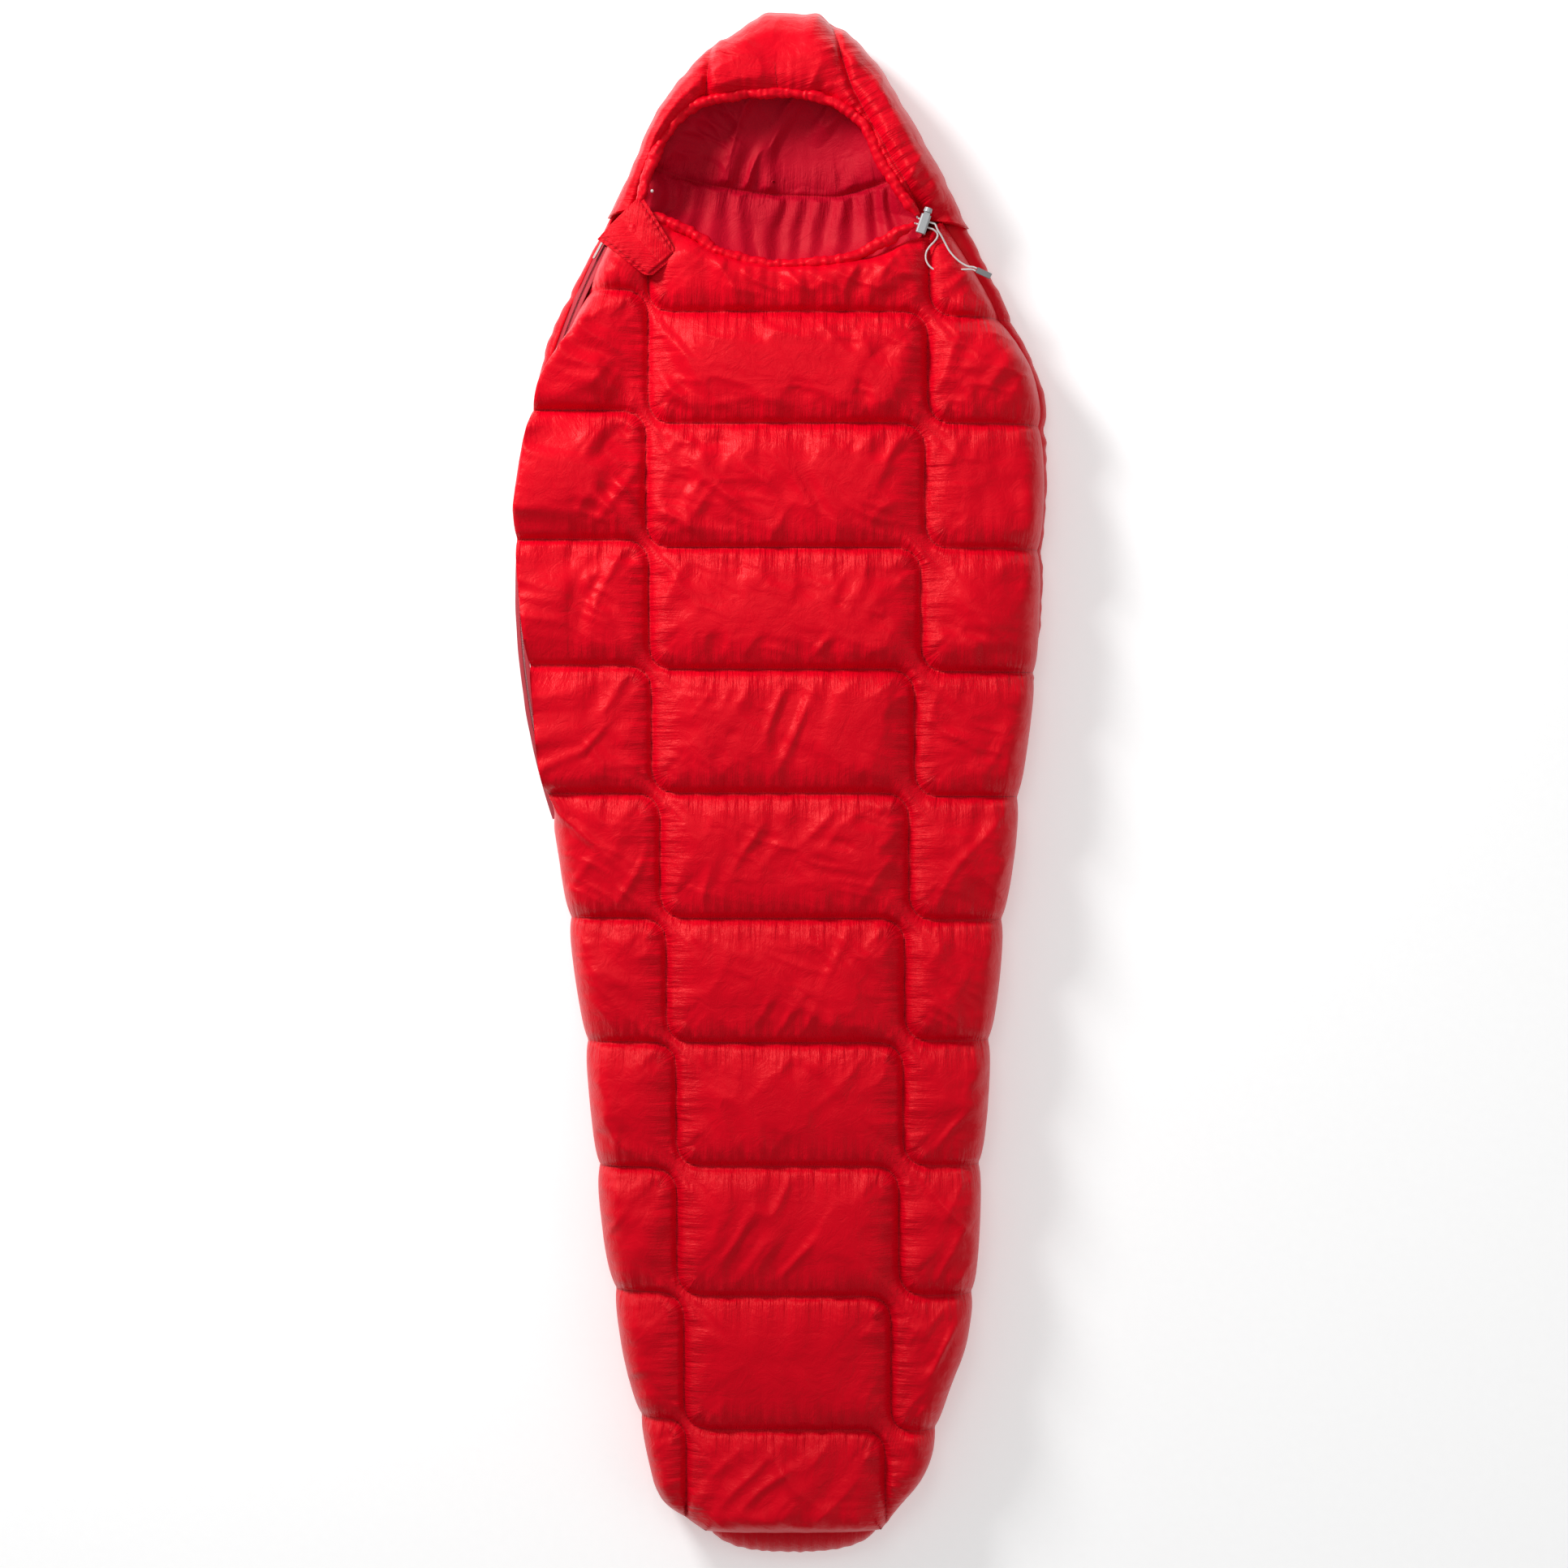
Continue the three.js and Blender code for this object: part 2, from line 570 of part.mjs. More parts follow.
const bailPost = (side) => block(
  at(bailX - BAIL_BAR, side * bailHalf - BAIL_BAR / 2, plateOver - bite),
  at(bailX + BAIL_BAR, side * bailHalf + BAIL_BAR / 2, bailHeight + BAIL_BAR / 2),
);
const bailBar = new THREE.CylinderGeometry(BAIL_BAR / 2, BAIL_BAR / 2, 2 * bailHalf, 12)
  .translate(bailX, 0, bailHeight);
const webHalf = SLIDER_LENGTH / 2 - 1;
const slider = [
  sliderPlate(-plateOver, -plateUnder),
  block(
    at(-webHalf, -SLIDER_WEB / 2, -plateUnder - bite),
    at(webHalf, SLIDER_WEB / 2, plateUnder + bite),
  ),
  bailPost(-1),
  bailPost(1),
  bailBar,
].map(solid).reduce((whole, piece) => whole.add(piece), solid(sliderPlate(plateUnder, plateOver)));
const sliderMesh = add("zip_slider", geometryOf(slider), HARDWARE_GREY, 0.3, 0.9);
sliderPlace.add(sliderMesh);

// Pull tab: a narrow eye round the bail's bar, and a long tab lying back along the zip.
const eyeOuter = BAIL_BAR / 2 + PULL_CLEARANCE + EYE_WALL;
const eyeWidth = 2 * bailHalf - BAIL_BAR - 2 * PULL_CLEARANCE;
const eye = new THREE.CylinderGeometry(eyeOuter, eyeOuter, eyeWidth, 16).translate(bailX, 0, bailHeight);
const eyeHole = new THREE.CylinderGeometry(
  BAIL_BAR / 2 + PULL_CLEARANCE,
  BAIL_BAR / 2 + PULL_CLEARANCE,
  PULL_WIDTH * 2,
  16,
).translate(bailX, 0, bailHeight);
const pullLow = bailHeight - PULL_THICKNESS / 2;
const neck = block(
  at(bailX, -eyeWidth / 2, pullLow),
  at(bailX + eyeOuter + PULL_NECK, eyeWidth / 2, pullLow + PULL_THICKNESS),
);
const tabOutline = new THREE.Shape();
const tabHalf = PULL_WIDTH / 2;
tabOutline.moveTo(PULL_NECK, tabHalf);
tabOutline.lineTo(PULL_NECK, -tabHalf);
tabOutline.absarc(PULL_LENGTH - tabHalf, 0, tabHalf, -Math.PI / 2, Math.PI / 2);
const tab = new THREE.ExtrudeGeometry(tabOutline, {
  depth: PULL_THICKNESS,
  bevelEnabled: false,
  curveSegments: 8,
}).translate(bailX, 0, pullLow);
const pull = solid(eye).add(solid(neck)).subtract(solid(eyeHole)).add(solid(tab));
sliderPlace.add(add("zip_pull", geometryOf(pull), HARDWARE_GREY, 0.3, 0.9));

// A round tube, or a cord where bore is 0, along a smooth curve through points.
function circle(diameter, sides) {
  return evenly(0, 2 * Math.PI, sides).slice(0, sides)
    .map((a) => new THREE.Vector2(Math.cos(a), Math.sin(a)).multiplyScalar(diameter / 2));
}
function tube(points, diameter, bore, sides, steps) {
  const section = new THREE.Shape(circle(diameter, sides));
  if (bore > 0) section.holes.push(new THREE.Path(circle(bore, sides)));
  return new THREE.ExtrudeGeometry(section, {
    extrudePath: new THREE.CatmullRomCurve3(points, false, "centripetal"),
    steps,
    bevelEnabled: false,
  });
}

// Draft tube: a filled sleeve hanging inside the zip from the front quilt.
const draftHeight = (backTop + frontUnder) / 2 - CLEARANCE;
add("draft_tube", tube(
  evenly(
    frontLow + turnFor(DRAFT_TUBE_LOW_MARGIN),
    zipTop - turnFor(DRAFT_TUBE_HIGH_MARGIN),
    10,
  ).map((angle) => {
    const p = zipPoint(angle, DRAFT_TUBE_INSET);
    return at(p.x, p.y, draftHeight);
  }),
  draftTubeDiameter,
  0,
  10,
  14,
), LINING_RED, 0.5);

// Draft collar: a flat filled roll across the neck on the back lining.
const draftCollarY = fromHead(DRAFT_COLLAR_FROM_HEAD);
const draftCollarHalf = DRAFT_COLLAR_WIDTH / 2;
add("draft_collar", quilt(
  evenly(draftCollarY - draftCollarHalf, draftCollarY + draftCollarHalf, 4).map((y) => lineOf(
    new THREE.Vector2(leftEdge(y, DRAFT_COLLAR_INSET), y),
    new THREE.Vector2(rightEdge(y, DRAFT_COLLAR_INSET), y),
    6,
  )),
  level(backTop + CLEARANCE),
  level(backTop + CLEARANCE + DRAFT_COLLAR_HEIGHT),
), LINING_RED, 0.5);

// Hood. Spokes run from the outline in to the rim of the face opening, one for each value
// of turn from 0 at the zip, over the crown, to 1 at the cord lock.
const rimPoints = RIM.map(([x, y]) => at(x, fromHead(y), rimHeight));
const rimCurve = new THREE.CatmullRomCurve3(rimPoints, false, "centripetal");
const rimAt = (turn) => rimCurve.getPointAt(turn);
const hoodTop = headEnd - HOOD_EDGE_INSET;
const outlineLeft = evenly(0, Math.PI / 2, 12).map((angle) => {
  const y = THREE.MathUtils.lerp(fromHead(HOOD_START_LEFT), hoodTop, Math.sin(angle));
  return at(leftEdge(y, HOOD_EDGE_INSET), y, 0);
});
const outlineRight = evenly(0, Math.PI / 2, 12).map((angle) => {
  const y = THREE.MathUtils.lerp(hoodTop, fromHead(HOOD_START_RIGHT), 1 - Math.cos(angle));
  return at(rightEdge(y, HOOD_EDGE_INSET), y, 0);
});
const outlineCurve = new THREE.CatmullRomCurve3(
  [...outlineLeft, ...outlineRight],
  false,
  "centripetal",
);
const wallAt = (turn) => outlineCurve.getPointAt(turn);

// The section of the hood wall: share of the way in from the outline, and height as a
// share of the way from the back lining to the hood's highest line.
const hoodFoot = backTop + CLEARANCE;
const hoodWall = [[0, 0], [0.02, 0.339], [0.14, 0.7015], [0.36, 0.936], [0.62, 1], [0.93, 0.872]];
const steepPoints = 3;
const softShare = 0.35;
function hoodLayer(turns, outer, inner) {
  const line = (turn, depth) => hoodWall.map(([share, lift], i) => {
    const inward = (depth / HOOD_REACH) * (i < steepPoints ? 1 : softShare) * (1 - share);
    const p = wallAt(turn).lerp(rimAt(turn), share + inward);
    const drop = depth * (i === 0 ? 0 : 0.9 * share + 0.1);
    const height = THREE.MathUtils.lerp(hoodFoot, hoodPeak, lift);
    return at(p.x, p.y, Math.max(hoodFoot, height - drop));
  });
  return loft(turns.map((turn) => [...line(turn, outer), ...line(turn, inner).reverse()]));
}
const hoodPanelDepth = 1.6 * HOOD_SKIN;
const hoodFillTop = 2.8 * HOOD_SKIN;
const hoodFillDepth = HOOD_SKIN + CLEARANCE * 2 + HOOD_LOFT;
const hoodLiningTop = hoodFillDepth + 0.8 * HOOD_SKIN;
const hoodLiningUnder = hoodFillDepth + 2.2 * HOOD_SKIN;
const hoodTurns = [
  ...evenly(0, HOOD_SEAMS[0], 8),
  ...evenly(HOOD_SEAMS[0], HOOD_SEAMS[1], 7).slice(1),
  ...evenly(HOOD_SEAMS[1], 1, 8).slice(1),
];
const hoodParts = [
  ["hood_left_panel", 0, HOOD_SEAMS[0] - HOOD_SEAM_GAP, 8],
  ["hood_centre_panel", HOOD_SEAMS[0] + HOOD_SEAM_GAP, HOOD_SEAMS[1] - HOOD_SEAM_GAP, 7],
  ["hood_right_panel", HOOD_SEAMS[1] + HOOD_SEAM_GAP, 1, 8],
];
for (const [name, from, to, steps] of hoodParts) {
  add(name, hoodLayer(evenly(from, to, steps), 0, hoodPanelDepth), SHELL_RED, 0.45);
}
add("hood_fill", hoodLayer(hoodTurns, hoodFillTop, hoodFillDepth), FILL_WHITE, 0.95);
add("hood_lining", hoodLayer(hoodTurns, hoodLiningTop, hoodLiningUnder), LINING_RED, 0.5);

// Drawcord tunnels round the face opening, and the cord through them. The hood's half
// stays put, and the collar's half goes with the corner that folds.
const rimOffset = (p, by) => {
  const middle = at(0, fromHead(FACE_FROM_HEAD), p.z);
  const out = middle.sub(p).setZ(0).normalize();
  return p.clone().addScaledVector(out, by);
};
const hoodTunnelLine = evenly(0.02, 0.96, 9).map((turn) => rimOffset(rimAt(turn), TUNNEL_DIAMETER / 2 + 1));
add("hood_tunnel", tube(hoodTunnelLine, TUNNEL_DIAMETER, tunnelBore, 10, 26), CENTRE_RED, 0.45);

const lockPlace = new THREE.Group();
lockPlace.position.set(LOCK_AT.x, fromHead(LOCK_AT.y), lockHeight);
lockPlace.rotation.z = LOCK_TURN;
group.add(lockPlace);
lockPlace.updateMatrixWorld();
const inLock = (x, y, z) => at(x, y, z).applyMatrix4(lockPlace.matrixWorld);
const upperCordY = 3.5;
const lowerCordY = upperCordY - CORD_PITCH;
const cordJoin = -LOCK_WIDTH / 2 - CORD_STUB;
const tunnelMouth = hoodTunnelLine[hoodTunnelLine.length - 1];
add("hood_cord", tube(
  [
    ...hoodTunnelLine.slice(0, -1),
    tunnelMouth,
    tunnelMouth.clone().add(at(6, -15, -1)),
    inLock(cordJoin - 10, upperCordY + 3.5, 0.3),
    inLock(cordJoin - 4, upperCordY, 0),
    inLock(cordJoin, upperCordY, 0),
  ],
  CORD_DIAMETER,
  0,
  8,
  60,
), CORD_GREY, 0.7);
const stopRadius = (CORD_STOP_SHARE * CORD_DIAMETER) / 2;
function cordStop(name, end, next) {
  const away = end.clone().sub(next).normalize();
  const place = end.clone().addScaledVector(away, stopRadius + CLEARANCE);
  const ball = new THREE.SphereGeometry(stopRadius, 10, 7).translate(place.x, place.y, place.z);
  add(name, ball, CORD_GREY, 0.6);
}
cordStop("hood_cord_stop", hoodTunnelLine[0], hoodTunnelLine[1]);

const collarLine = cornerRow(1);
const collarTunnelLine = collarLine.map((p, i) => {
  const along = collarLine[Math.min(i + 1, 6)].clone().sub(collarLine[Math.max(i - 1, 0)]).normalize();
  const inset = i === 0 ? TUNNEL_END_INSET : i === 6 ? -TUNNEL_END_INSET : 0;
  const out = TUNNEL_DIAMETER / 2 + TUNNEL_GAP;
  return at(
    p.x + along.x * inset - along.y * out,
    p.y + along.y * inset + along.x * out,
    frontSurface(p.x, p.y) - TUNNEL_DIAMETER / 2,
  );
});
add("collar_tunnel", tube(collarTunnelLine, TUNNEL_DIAMETER, tunnelBore, 10, 18), CENTRE_RED, 0.45);
add("collar_cord", tube(collarTunnelLine, CORD_DIAMETER, 0, 8, 40), CORD_GREY, 0.7);
cordStop("collar_cord_stop", collarTunnelLine[0], collarTunnelLine[1]);

// Free ends of the drawcord, from the cord lock to the cord end.
const cordEndTurn = new THREE.Matrix4().makeRotationZ(CORD_END_TURN);
const cordEndAt = at(CORD_END_AT.x, fromHead(CORD_END_AT.y), lockHeight + CORD_END_AT.z);
const inCordEnd = (x, y) => at(x, y, 0).applyMatrix4(cordEndTurn).add(cordEndAt);
const cordEndFace = -CORD_END_SIZE.x / 2 - CLEARANCE;
const fromList = ([x, distance, z]) => at(x, fromHead(distance), lockHeight + z);
const straightStretch = [0, 6, 12, LOCK_WIDTH / 2 + LOCK_TRAVEL + 1.5];
const tail = (lockY, middle, endY) => [
  inLock(cordJoin + CLEARANCE, lockY, 0),
  ...straightStretch.map((x) => inLock(x, lockY, 0)),
  ...middle.map(fromList),
  inCordEnd(cordEndFace - CORD_LEAD, endY),
  inCordEnd(cordEndFace, endY),
];
const upperTail = tail(upperCordY, UPPER_TAIL, CORD_END_PITCH / 2);
const lowerTail = tail(lowerCordY, LOWER_TAIL, -CORD_END_PITCH / 2);
add("cord_tail_upper", tube(upperTail, CORD_DIAMETER, 0, 8, 44), CORD_GREY, 0.7);
add("cord_tail_lower", tube(lowerTail, CORD_DIAMETER, 0, 8, 56), CORD_GREY, 0.7);
const cordEnd = new THREE.BoxGeometry(...CORD_END_SIZE.toArray());
const cordEndMesh = add("cord_end", cordEnd, HARDWARE_GREY, 0.5);
cordEndMesh.position.copy(cordEndAt);
cordEndMesh.rotation.z = CORD_END_TURN;

// Cord lock: a barrel with a sprung plunger. The cords pass crosswise through both.
const barrelLow = -LOCK_LENGTH / 2 - 2;
const barrelHigh = LOCK_LENGTH / 2 - 2;
const boreX = LOCK_WIDTH / 2 - LOCK_WALL;
const boreZ = LOCK_DEPTH / 2 - LOCK_WALL;
const holeRadius = CORD_DIAMETER / 2 + CLEARANCE;
const cordHole = (y) => new THREE.CylinderGeometry(holeRadius, holeRadius, LOCK_WIDTH * 2, 16)
  .rotateZ(Math.PI / 2).translate(0, y, 0);
const barrelOutline = new THREE.Shape();
const roundX = LOCK_WIDTH / 2 - BARREL_ROUND;
const roundZ = LOCK_DEPTH / 2 - BARREL_ROUND;
barrelOutline.absarc(roundX, roundZ, BARREL_ROUND, 0, Math.PI / 2);
barrelOutline.absarc(-roundX, roundZ, BARREL_ROUND, Math.PI / 2, Math.PI);
barrelOutline.absarc(-roundX, -roundZ, BARREL_ROUND, Math.PI, 1.5 * Math.PI);
barrelOutline.absarc(roundX, -roundZ, BARREL_ROUND, 1.5 * Math.PI, 2 * Math.PI);
const barrelSolid = new THREE.ExtrudeGeometry(barrelOutline, {
  depth: barrelHigh - barrelLow,
  bevelEnabled: false,
  curveSegments: 5,
}).rotateX(Math.PI / 2).translate(0, barrelHigh, 0);
const cavity = block(at(-boreX, barrelLow + LOCK_WALL, -boreZ), at(boreX, barrelHigh + 1, boreZ));
const barrel = [cavity, cordHole(upperCordY), cordHole(lowerCordY)].map(solid)
  .reduce((whole, cut) => whole.subtract(cut), solid(barrelSolid));
lockPlace.add(add("lock_barrel", geometryOf(barrel), HARDWARE_GREY, 0.4, 0.3));

const stemX = boreX - PLUNGER_CLEARANCE;
const stemZ = boreZ - PLUNGER_CLEARANCE;
const stemLow = lowerCordY - CORD_DIAMETER / 2 - SLOT_LAND;
const stem = block(at(-stemX, stemLow, -stemZ), at(stemX, barrelHigh + BUTTON_TRAVEL + 1, stemZ));
const capLow = barrelHigh + BUTTON_TRAVEL + CLEARANCE;
const capRadius = LOCK_DEPTH / 2;
const cap = new THREE.CylinderGeometry(capRadius, capRadius + BUTTON_FLARE, BUTTON_LENGTH, 20)
  .translate(0, capLow + BUTTON_LENGTH / 2, 0);
const slot = block(
  at(-LOCK_WIDTH, lowerCordY - holeRadius, -holeRadius),
  at(LOCK_WIDTH, upperCordY + holeRadius + BUTTON_TRAVEL, holeRadius),
);
const plunger = solid(stem).subtract(solid(slot)).add(solid(cap));
lockPlace.add(add("lock_plunger", geometryOf(plunger), HARDWARE_GREY, 0.35, 0.3));

const springLow = barrelLow + LOCK_WALL + CLEARANCE + SPRING_WIRE / 2;
const springHigh = stemLow - CLEARANCE - SPRING_WIRE / 2;
const springRadius = boreZ - SPRING_WIRE;
lockPlace.add(add("lock_spring", tube(
  evenly(0, 1, SPRING_TURNS * 8).map((t) => at(
    springRadius * Math.cos(2 * Math.PI * SPRING_TURNS * t),
    THREE.MathUtils.lerp(springLow, springHigh, t),
    springRadius * Math.sin(2 * Math.PI * SPRING_TURNS * t),
  )),
  SPRING_WIRE,
  0,
  6,
  36,
), HARDWARE_GREY, 0.3, 0.9));

// Flap over the top of the zip. It is sewn along the outer side of the zip and lies over
// the slider onto the corner, where a patch under it grips a patch on the quilt.
const flapHinge = zipPoint(zipTop).add(FLAP_HINGE);
const flapPlan = new THREE.Matrix4().makeRotationZ(FLAP_TURN)
  .setPosition(flapHinge.x, flapHinge.y, 0);
const inFlap = (along, across) => {
  const p = at(along, across, 0).applyMatrix4(flapPlan);
  return new THREE.Vector2(p.x, p.y);
};
const flapRows = evenly(0, FLAP_LENGTH, 8).map((along) => {
  const round = Math.max(0, (along - FLAP_LENGTH) / FLAP_ROUND + 1);
  const half = (FLAP_WIDTH / 2) * (1 - 0.45 * round * round);
  return lineOf(inFlap(along, -half), inFlap(along, half), 3);
});
const shellTop = 2 * CLEARANCE + SKIN;
const flapUnder = raised(frontSurface, shellTop + 2 * PATCH_THICKNESS + FLAP_PADDING);
add("zip_flap", quilt(flapRows, flapUnder, raised(flapUnder, FLAP_THICKNESS)), CENTRE_RED, 0.45);
const patchRows = (along) => [along, along + PATCH_SIZE.y].map((a) =>
  [-PATCH_SIZE.x / 2, PATCH_SIZE.x / 2].map((c) => inFlap(a, c)));
const patchFrom = FLAP_LENGTH - PATCH_SIZE.y - PATCH_END_MARGIN;
const hookUnder = raised(flapUnder, -CLEARANCE - PATCH_THICKNESS);
add("hook_patch", quilt(patchRows(patchFrom), hookUnder, raised(flapUnder, -CLEARANCE)), TAPE_RED, 0.9);
const loopUnder = raised(frontSurface, shellTop + CLEARANCE);
const patchLine = patchRows(patchFrom).map(([a, b]) => lineOf(a, b, 3));
add("loop_patch", quilt(patchLine, loopUnder, raised(loopUnder, PATCH_THICKNESS)), TAPE_RED, 0.9);

export default group;
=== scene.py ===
"""A red quilted mummy sleeping bag, zipped shut and lying on its back on a pale floor.

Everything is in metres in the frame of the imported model: +X to the right, +Y towards the
hood, +Z up. The sections follow the bag as it is sewn: cords and cord lock, quilts, hood,
tunnels, lining, zip and flap.
"""
import math

import bpy
import numpy as np
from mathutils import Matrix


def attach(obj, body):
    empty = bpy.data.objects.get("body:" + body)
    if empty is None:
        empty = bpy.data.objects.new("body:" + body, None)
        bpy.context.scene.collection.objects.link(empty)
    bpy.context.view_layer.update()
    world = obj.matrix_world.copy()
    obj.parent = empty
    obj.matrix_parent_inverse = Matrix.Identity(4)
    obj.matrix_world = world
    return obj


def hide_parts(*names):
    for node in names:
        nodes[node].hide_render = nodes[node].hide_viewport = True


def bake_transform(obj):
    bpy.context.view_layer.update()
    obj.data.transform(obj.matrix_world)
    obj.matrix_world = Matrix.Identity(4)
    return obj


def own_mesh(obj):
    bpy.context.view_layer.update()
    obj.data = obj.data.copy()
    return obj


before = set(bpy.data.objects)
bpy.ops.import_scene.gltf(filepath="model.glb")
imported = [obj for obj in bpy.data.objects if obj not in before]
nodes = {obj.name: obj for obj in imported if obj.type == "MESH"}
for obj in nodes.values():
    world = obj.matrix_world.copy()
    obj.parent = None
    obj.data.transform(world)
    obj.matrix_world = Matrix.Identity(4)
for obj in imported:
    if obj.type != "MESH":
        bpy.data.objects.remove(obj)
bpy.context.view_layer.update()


# ---------------------------------------------------------------------------------------
# Camera, floor and light. The bag is seen straight from above, from a little over twice its
# own length, and the light is soft and comes mostly from the hood end and the left.
CAMERA_HEIGHT = 5.2
QUILT_HEIGHT = 0.1
VIEW_ACROSS = 2.223
SENSOR = 36
FLOOR_HALF = 9
FLOOR_HEIGHT = -0.0005

camera_data = bpy.data.cameras.new("camera")
camera_data.sensor_width = SENSOR
camera_data.lens = SENSOR * (CAMERA_HEIGHT - QUILT_HEIGHT) / VIEW_ACROSS
camera_data.clip_end = 50
camera = bpy.data.objects.new("camera", camera_data)
camera.location = (0, 0, CAMERA_HEIGHT)
bpy.context.collection.objects.link(camera)
bpy.context.scene.camera = camera


def linear(code):
    """A hex sRGB colour as linear values: each channel is c/12.92 below 0.04045, and
    ((c + 0.055) / 1.055) to the power 2.4 above it."""
    c = np.array([int(code[i : i + 2], 16) for i in (1, 3, 5)]) / 255
    channels = np.where(c < 0.04045, c / 12.92, ((c + 0.055) / 1.055) ** 2.4)
    return (*channels.tolist(), 1.0)


def put(tree, kind, links=(), **settings):
    """Adds one shader node. A setting names a property or an input socket, with spaces
    written as underscores, and links are (input, node, output) triples."""
    node = tree.nodes.new(f"ShaderNode{kind}")
    for key, value in settings.items():
        if hasattr(node, key):
            setattr(node, key, value)
        else:
            node.inputs[key.replace("_", " ")].default_value = value
    for entry, source, output in links:
        tree.links.new(source.outputs[output], node.inputs[entry])
    return node


def material(name):
    """An empty node material, its tree and its output."""
    made = bpy.data.materials.new(name)
    made.use_nodes = True
    tree = made.node_tree
    tree.nodes.clear()
    return made, tree, tree.nodes.new("ShaderNodeOutputMaterial")


def paper_floor():
    """Matt white studio paper, lit a little from behind: no gloss, so that only the bag's
    soft shadow shows on it."""
    made, tree, out = material("matt_studio_paper")
    grain = put(tree, "TexNoise", Scale=90, Detail=3)
    where = put(tree, "TexCoord")
    tree.links.new(where.outputs["Object"], grain.inputs["Vector"])
    tone = put(tree, "MixRGB", [("Fac", grain, "Fac")],
        Color1=linear("#F4F4F4"), Color2=linear("#FAFAFA"))
    coat = put(tree, "BsdfPrincipled", [("Base Color", tone, "Color")], Roughness=0.95)
    coat.inputs["Specular IOR Level"].default_value = 0.1
    coat.inputs["Emission Color"].default_value = (1, 1, 1, 1)
    coat.inputs["Emission Strength"].default_value = 0.30
    tree.links.new(coat.outputs["BSDF"], out.inputs["Surface"])
    return made


floor_mesh = bpy.data.meshes.new("floor")
corners = [(x * FLOOR_HALF, y * FLOOR_HALF, FLOOR_HEIGHT) for x, y in ((-1, -1), (1, -1), (1, 1), (-1, 1))]
floor_mesh.from_pydata(corners, [], [(0, 1, 2, 3)])
floor = bpy.data.objects.new("floor", floor_mesh)
floor_mesh.materials.append(paper_floor())
bpy.context.collection.objects.link(floor)

world = bpy.data.worlds.new("studio")
bpy.context.scene.world = world
world.use_nodes = True
sky = world.node_tree.nodes["Background"]
sky.inputs["Color"].default_value = (1, 1, 1, 1)
sky.inputs["Strength"].default_value = 0.36
bpy.context.scene.view_settings.view_transform = "Standard"


def softbox(name, place, aim, size, power):
    """A square area light at a place, turned so that it shines at aim."""
    data = bpy.data.lights.new(name, "AREA")
    data.size = size
    data.energy = power
    light = bpy.data.objects.new(name, data)
    light.location = place
    away = np.array(place, float) - np.array(aim, float)
    flat = math.hypot(away[0], away[1])
    light.rotation_euler = (math.atan2(flat, away[2]), 0, math.atan2(away[1], away[0]) + math.pi / 2)
    bpy.context.collection.objects.link(light)


softbox("key_light", (-2.0, 2.3, 1.7), (0, 0.2, 0), 0.9, 112)
softbox("fill_light", (2.6, -1.2, 2.6), (0, 0, 0), 2.0, 8)
softbox("top_light", (-0.5, 1.4, 4.2), (0, 0.2, 0), 1.6, 22)


# ---------------------------------------------------------------------------------------
# Free ends of the drawcord: 2.5 mm braided elastic cord, round and limp. They leave the
# cord lock side by side and run loose over the shoulder to the moulded end that joins them.
CORD_DIAMETER = 0.0025
CORD_STEP = 0.0012
LOCK_PLACE = np.array([0.198, 0.795, 0.104])
LOCK_TURN = math.radians(-19)
LOCK_FACE = -0.0096
LOCK_LEAD = (0, 0.006, 0.012, 0.0155)
UPPER_CORD_Y = 0.0035
LOWER_CORD_Y = -0.0045
CORD_END_PLACE = np.array([0.2835, 0.7245, 0.0974])
CORD_END_TURN = math.radians(-24.8)
CORD_END_FACE = -0.0114
CORD_END_LEAD = 0.005
CORD_END_HOLE = 0.0019
UPPER_TAIL = [
    (0.218, 0.7845, 0.103), (0.2225, 0.778, 0.101), (0.228, 0.768, 0.0986), (0.2345, 0.7565, 0.0972),
    (0.243, 0.7465, 0.0968), (0.252, 0.739, 0.0968), (0.261, 0.7344, 0.0972),
]
LOWER_TAIL = [
    (0.2175, 0.780, 0.1016), (0.217, 0.7745, 0.1002), (0.2125, 0.7685, 0.099), (0.206, 0.7615, 0.0984),
    (0.2015, 0.753, 0.0982), (0.2015, 0.7435, 0.0982), (0.206, 0.735, 0.098), (0.2135, 0.7295, 0.0976),
    (0.224, 0.727, 0.0973), (0.236, 0.7274, 0.0972), (0.248, 0.7294, 0.0972), (0.260, 0.730, 0.0973),
]


def turned(place, turn, x, y):
    """A point (x, y) of a piece that is turned about +Z and then moved to its place."""
    c, s = math.cos(turn), math.sin(turn)
    return place + np.array([c * x - s * y, s * x + c * y, 0])


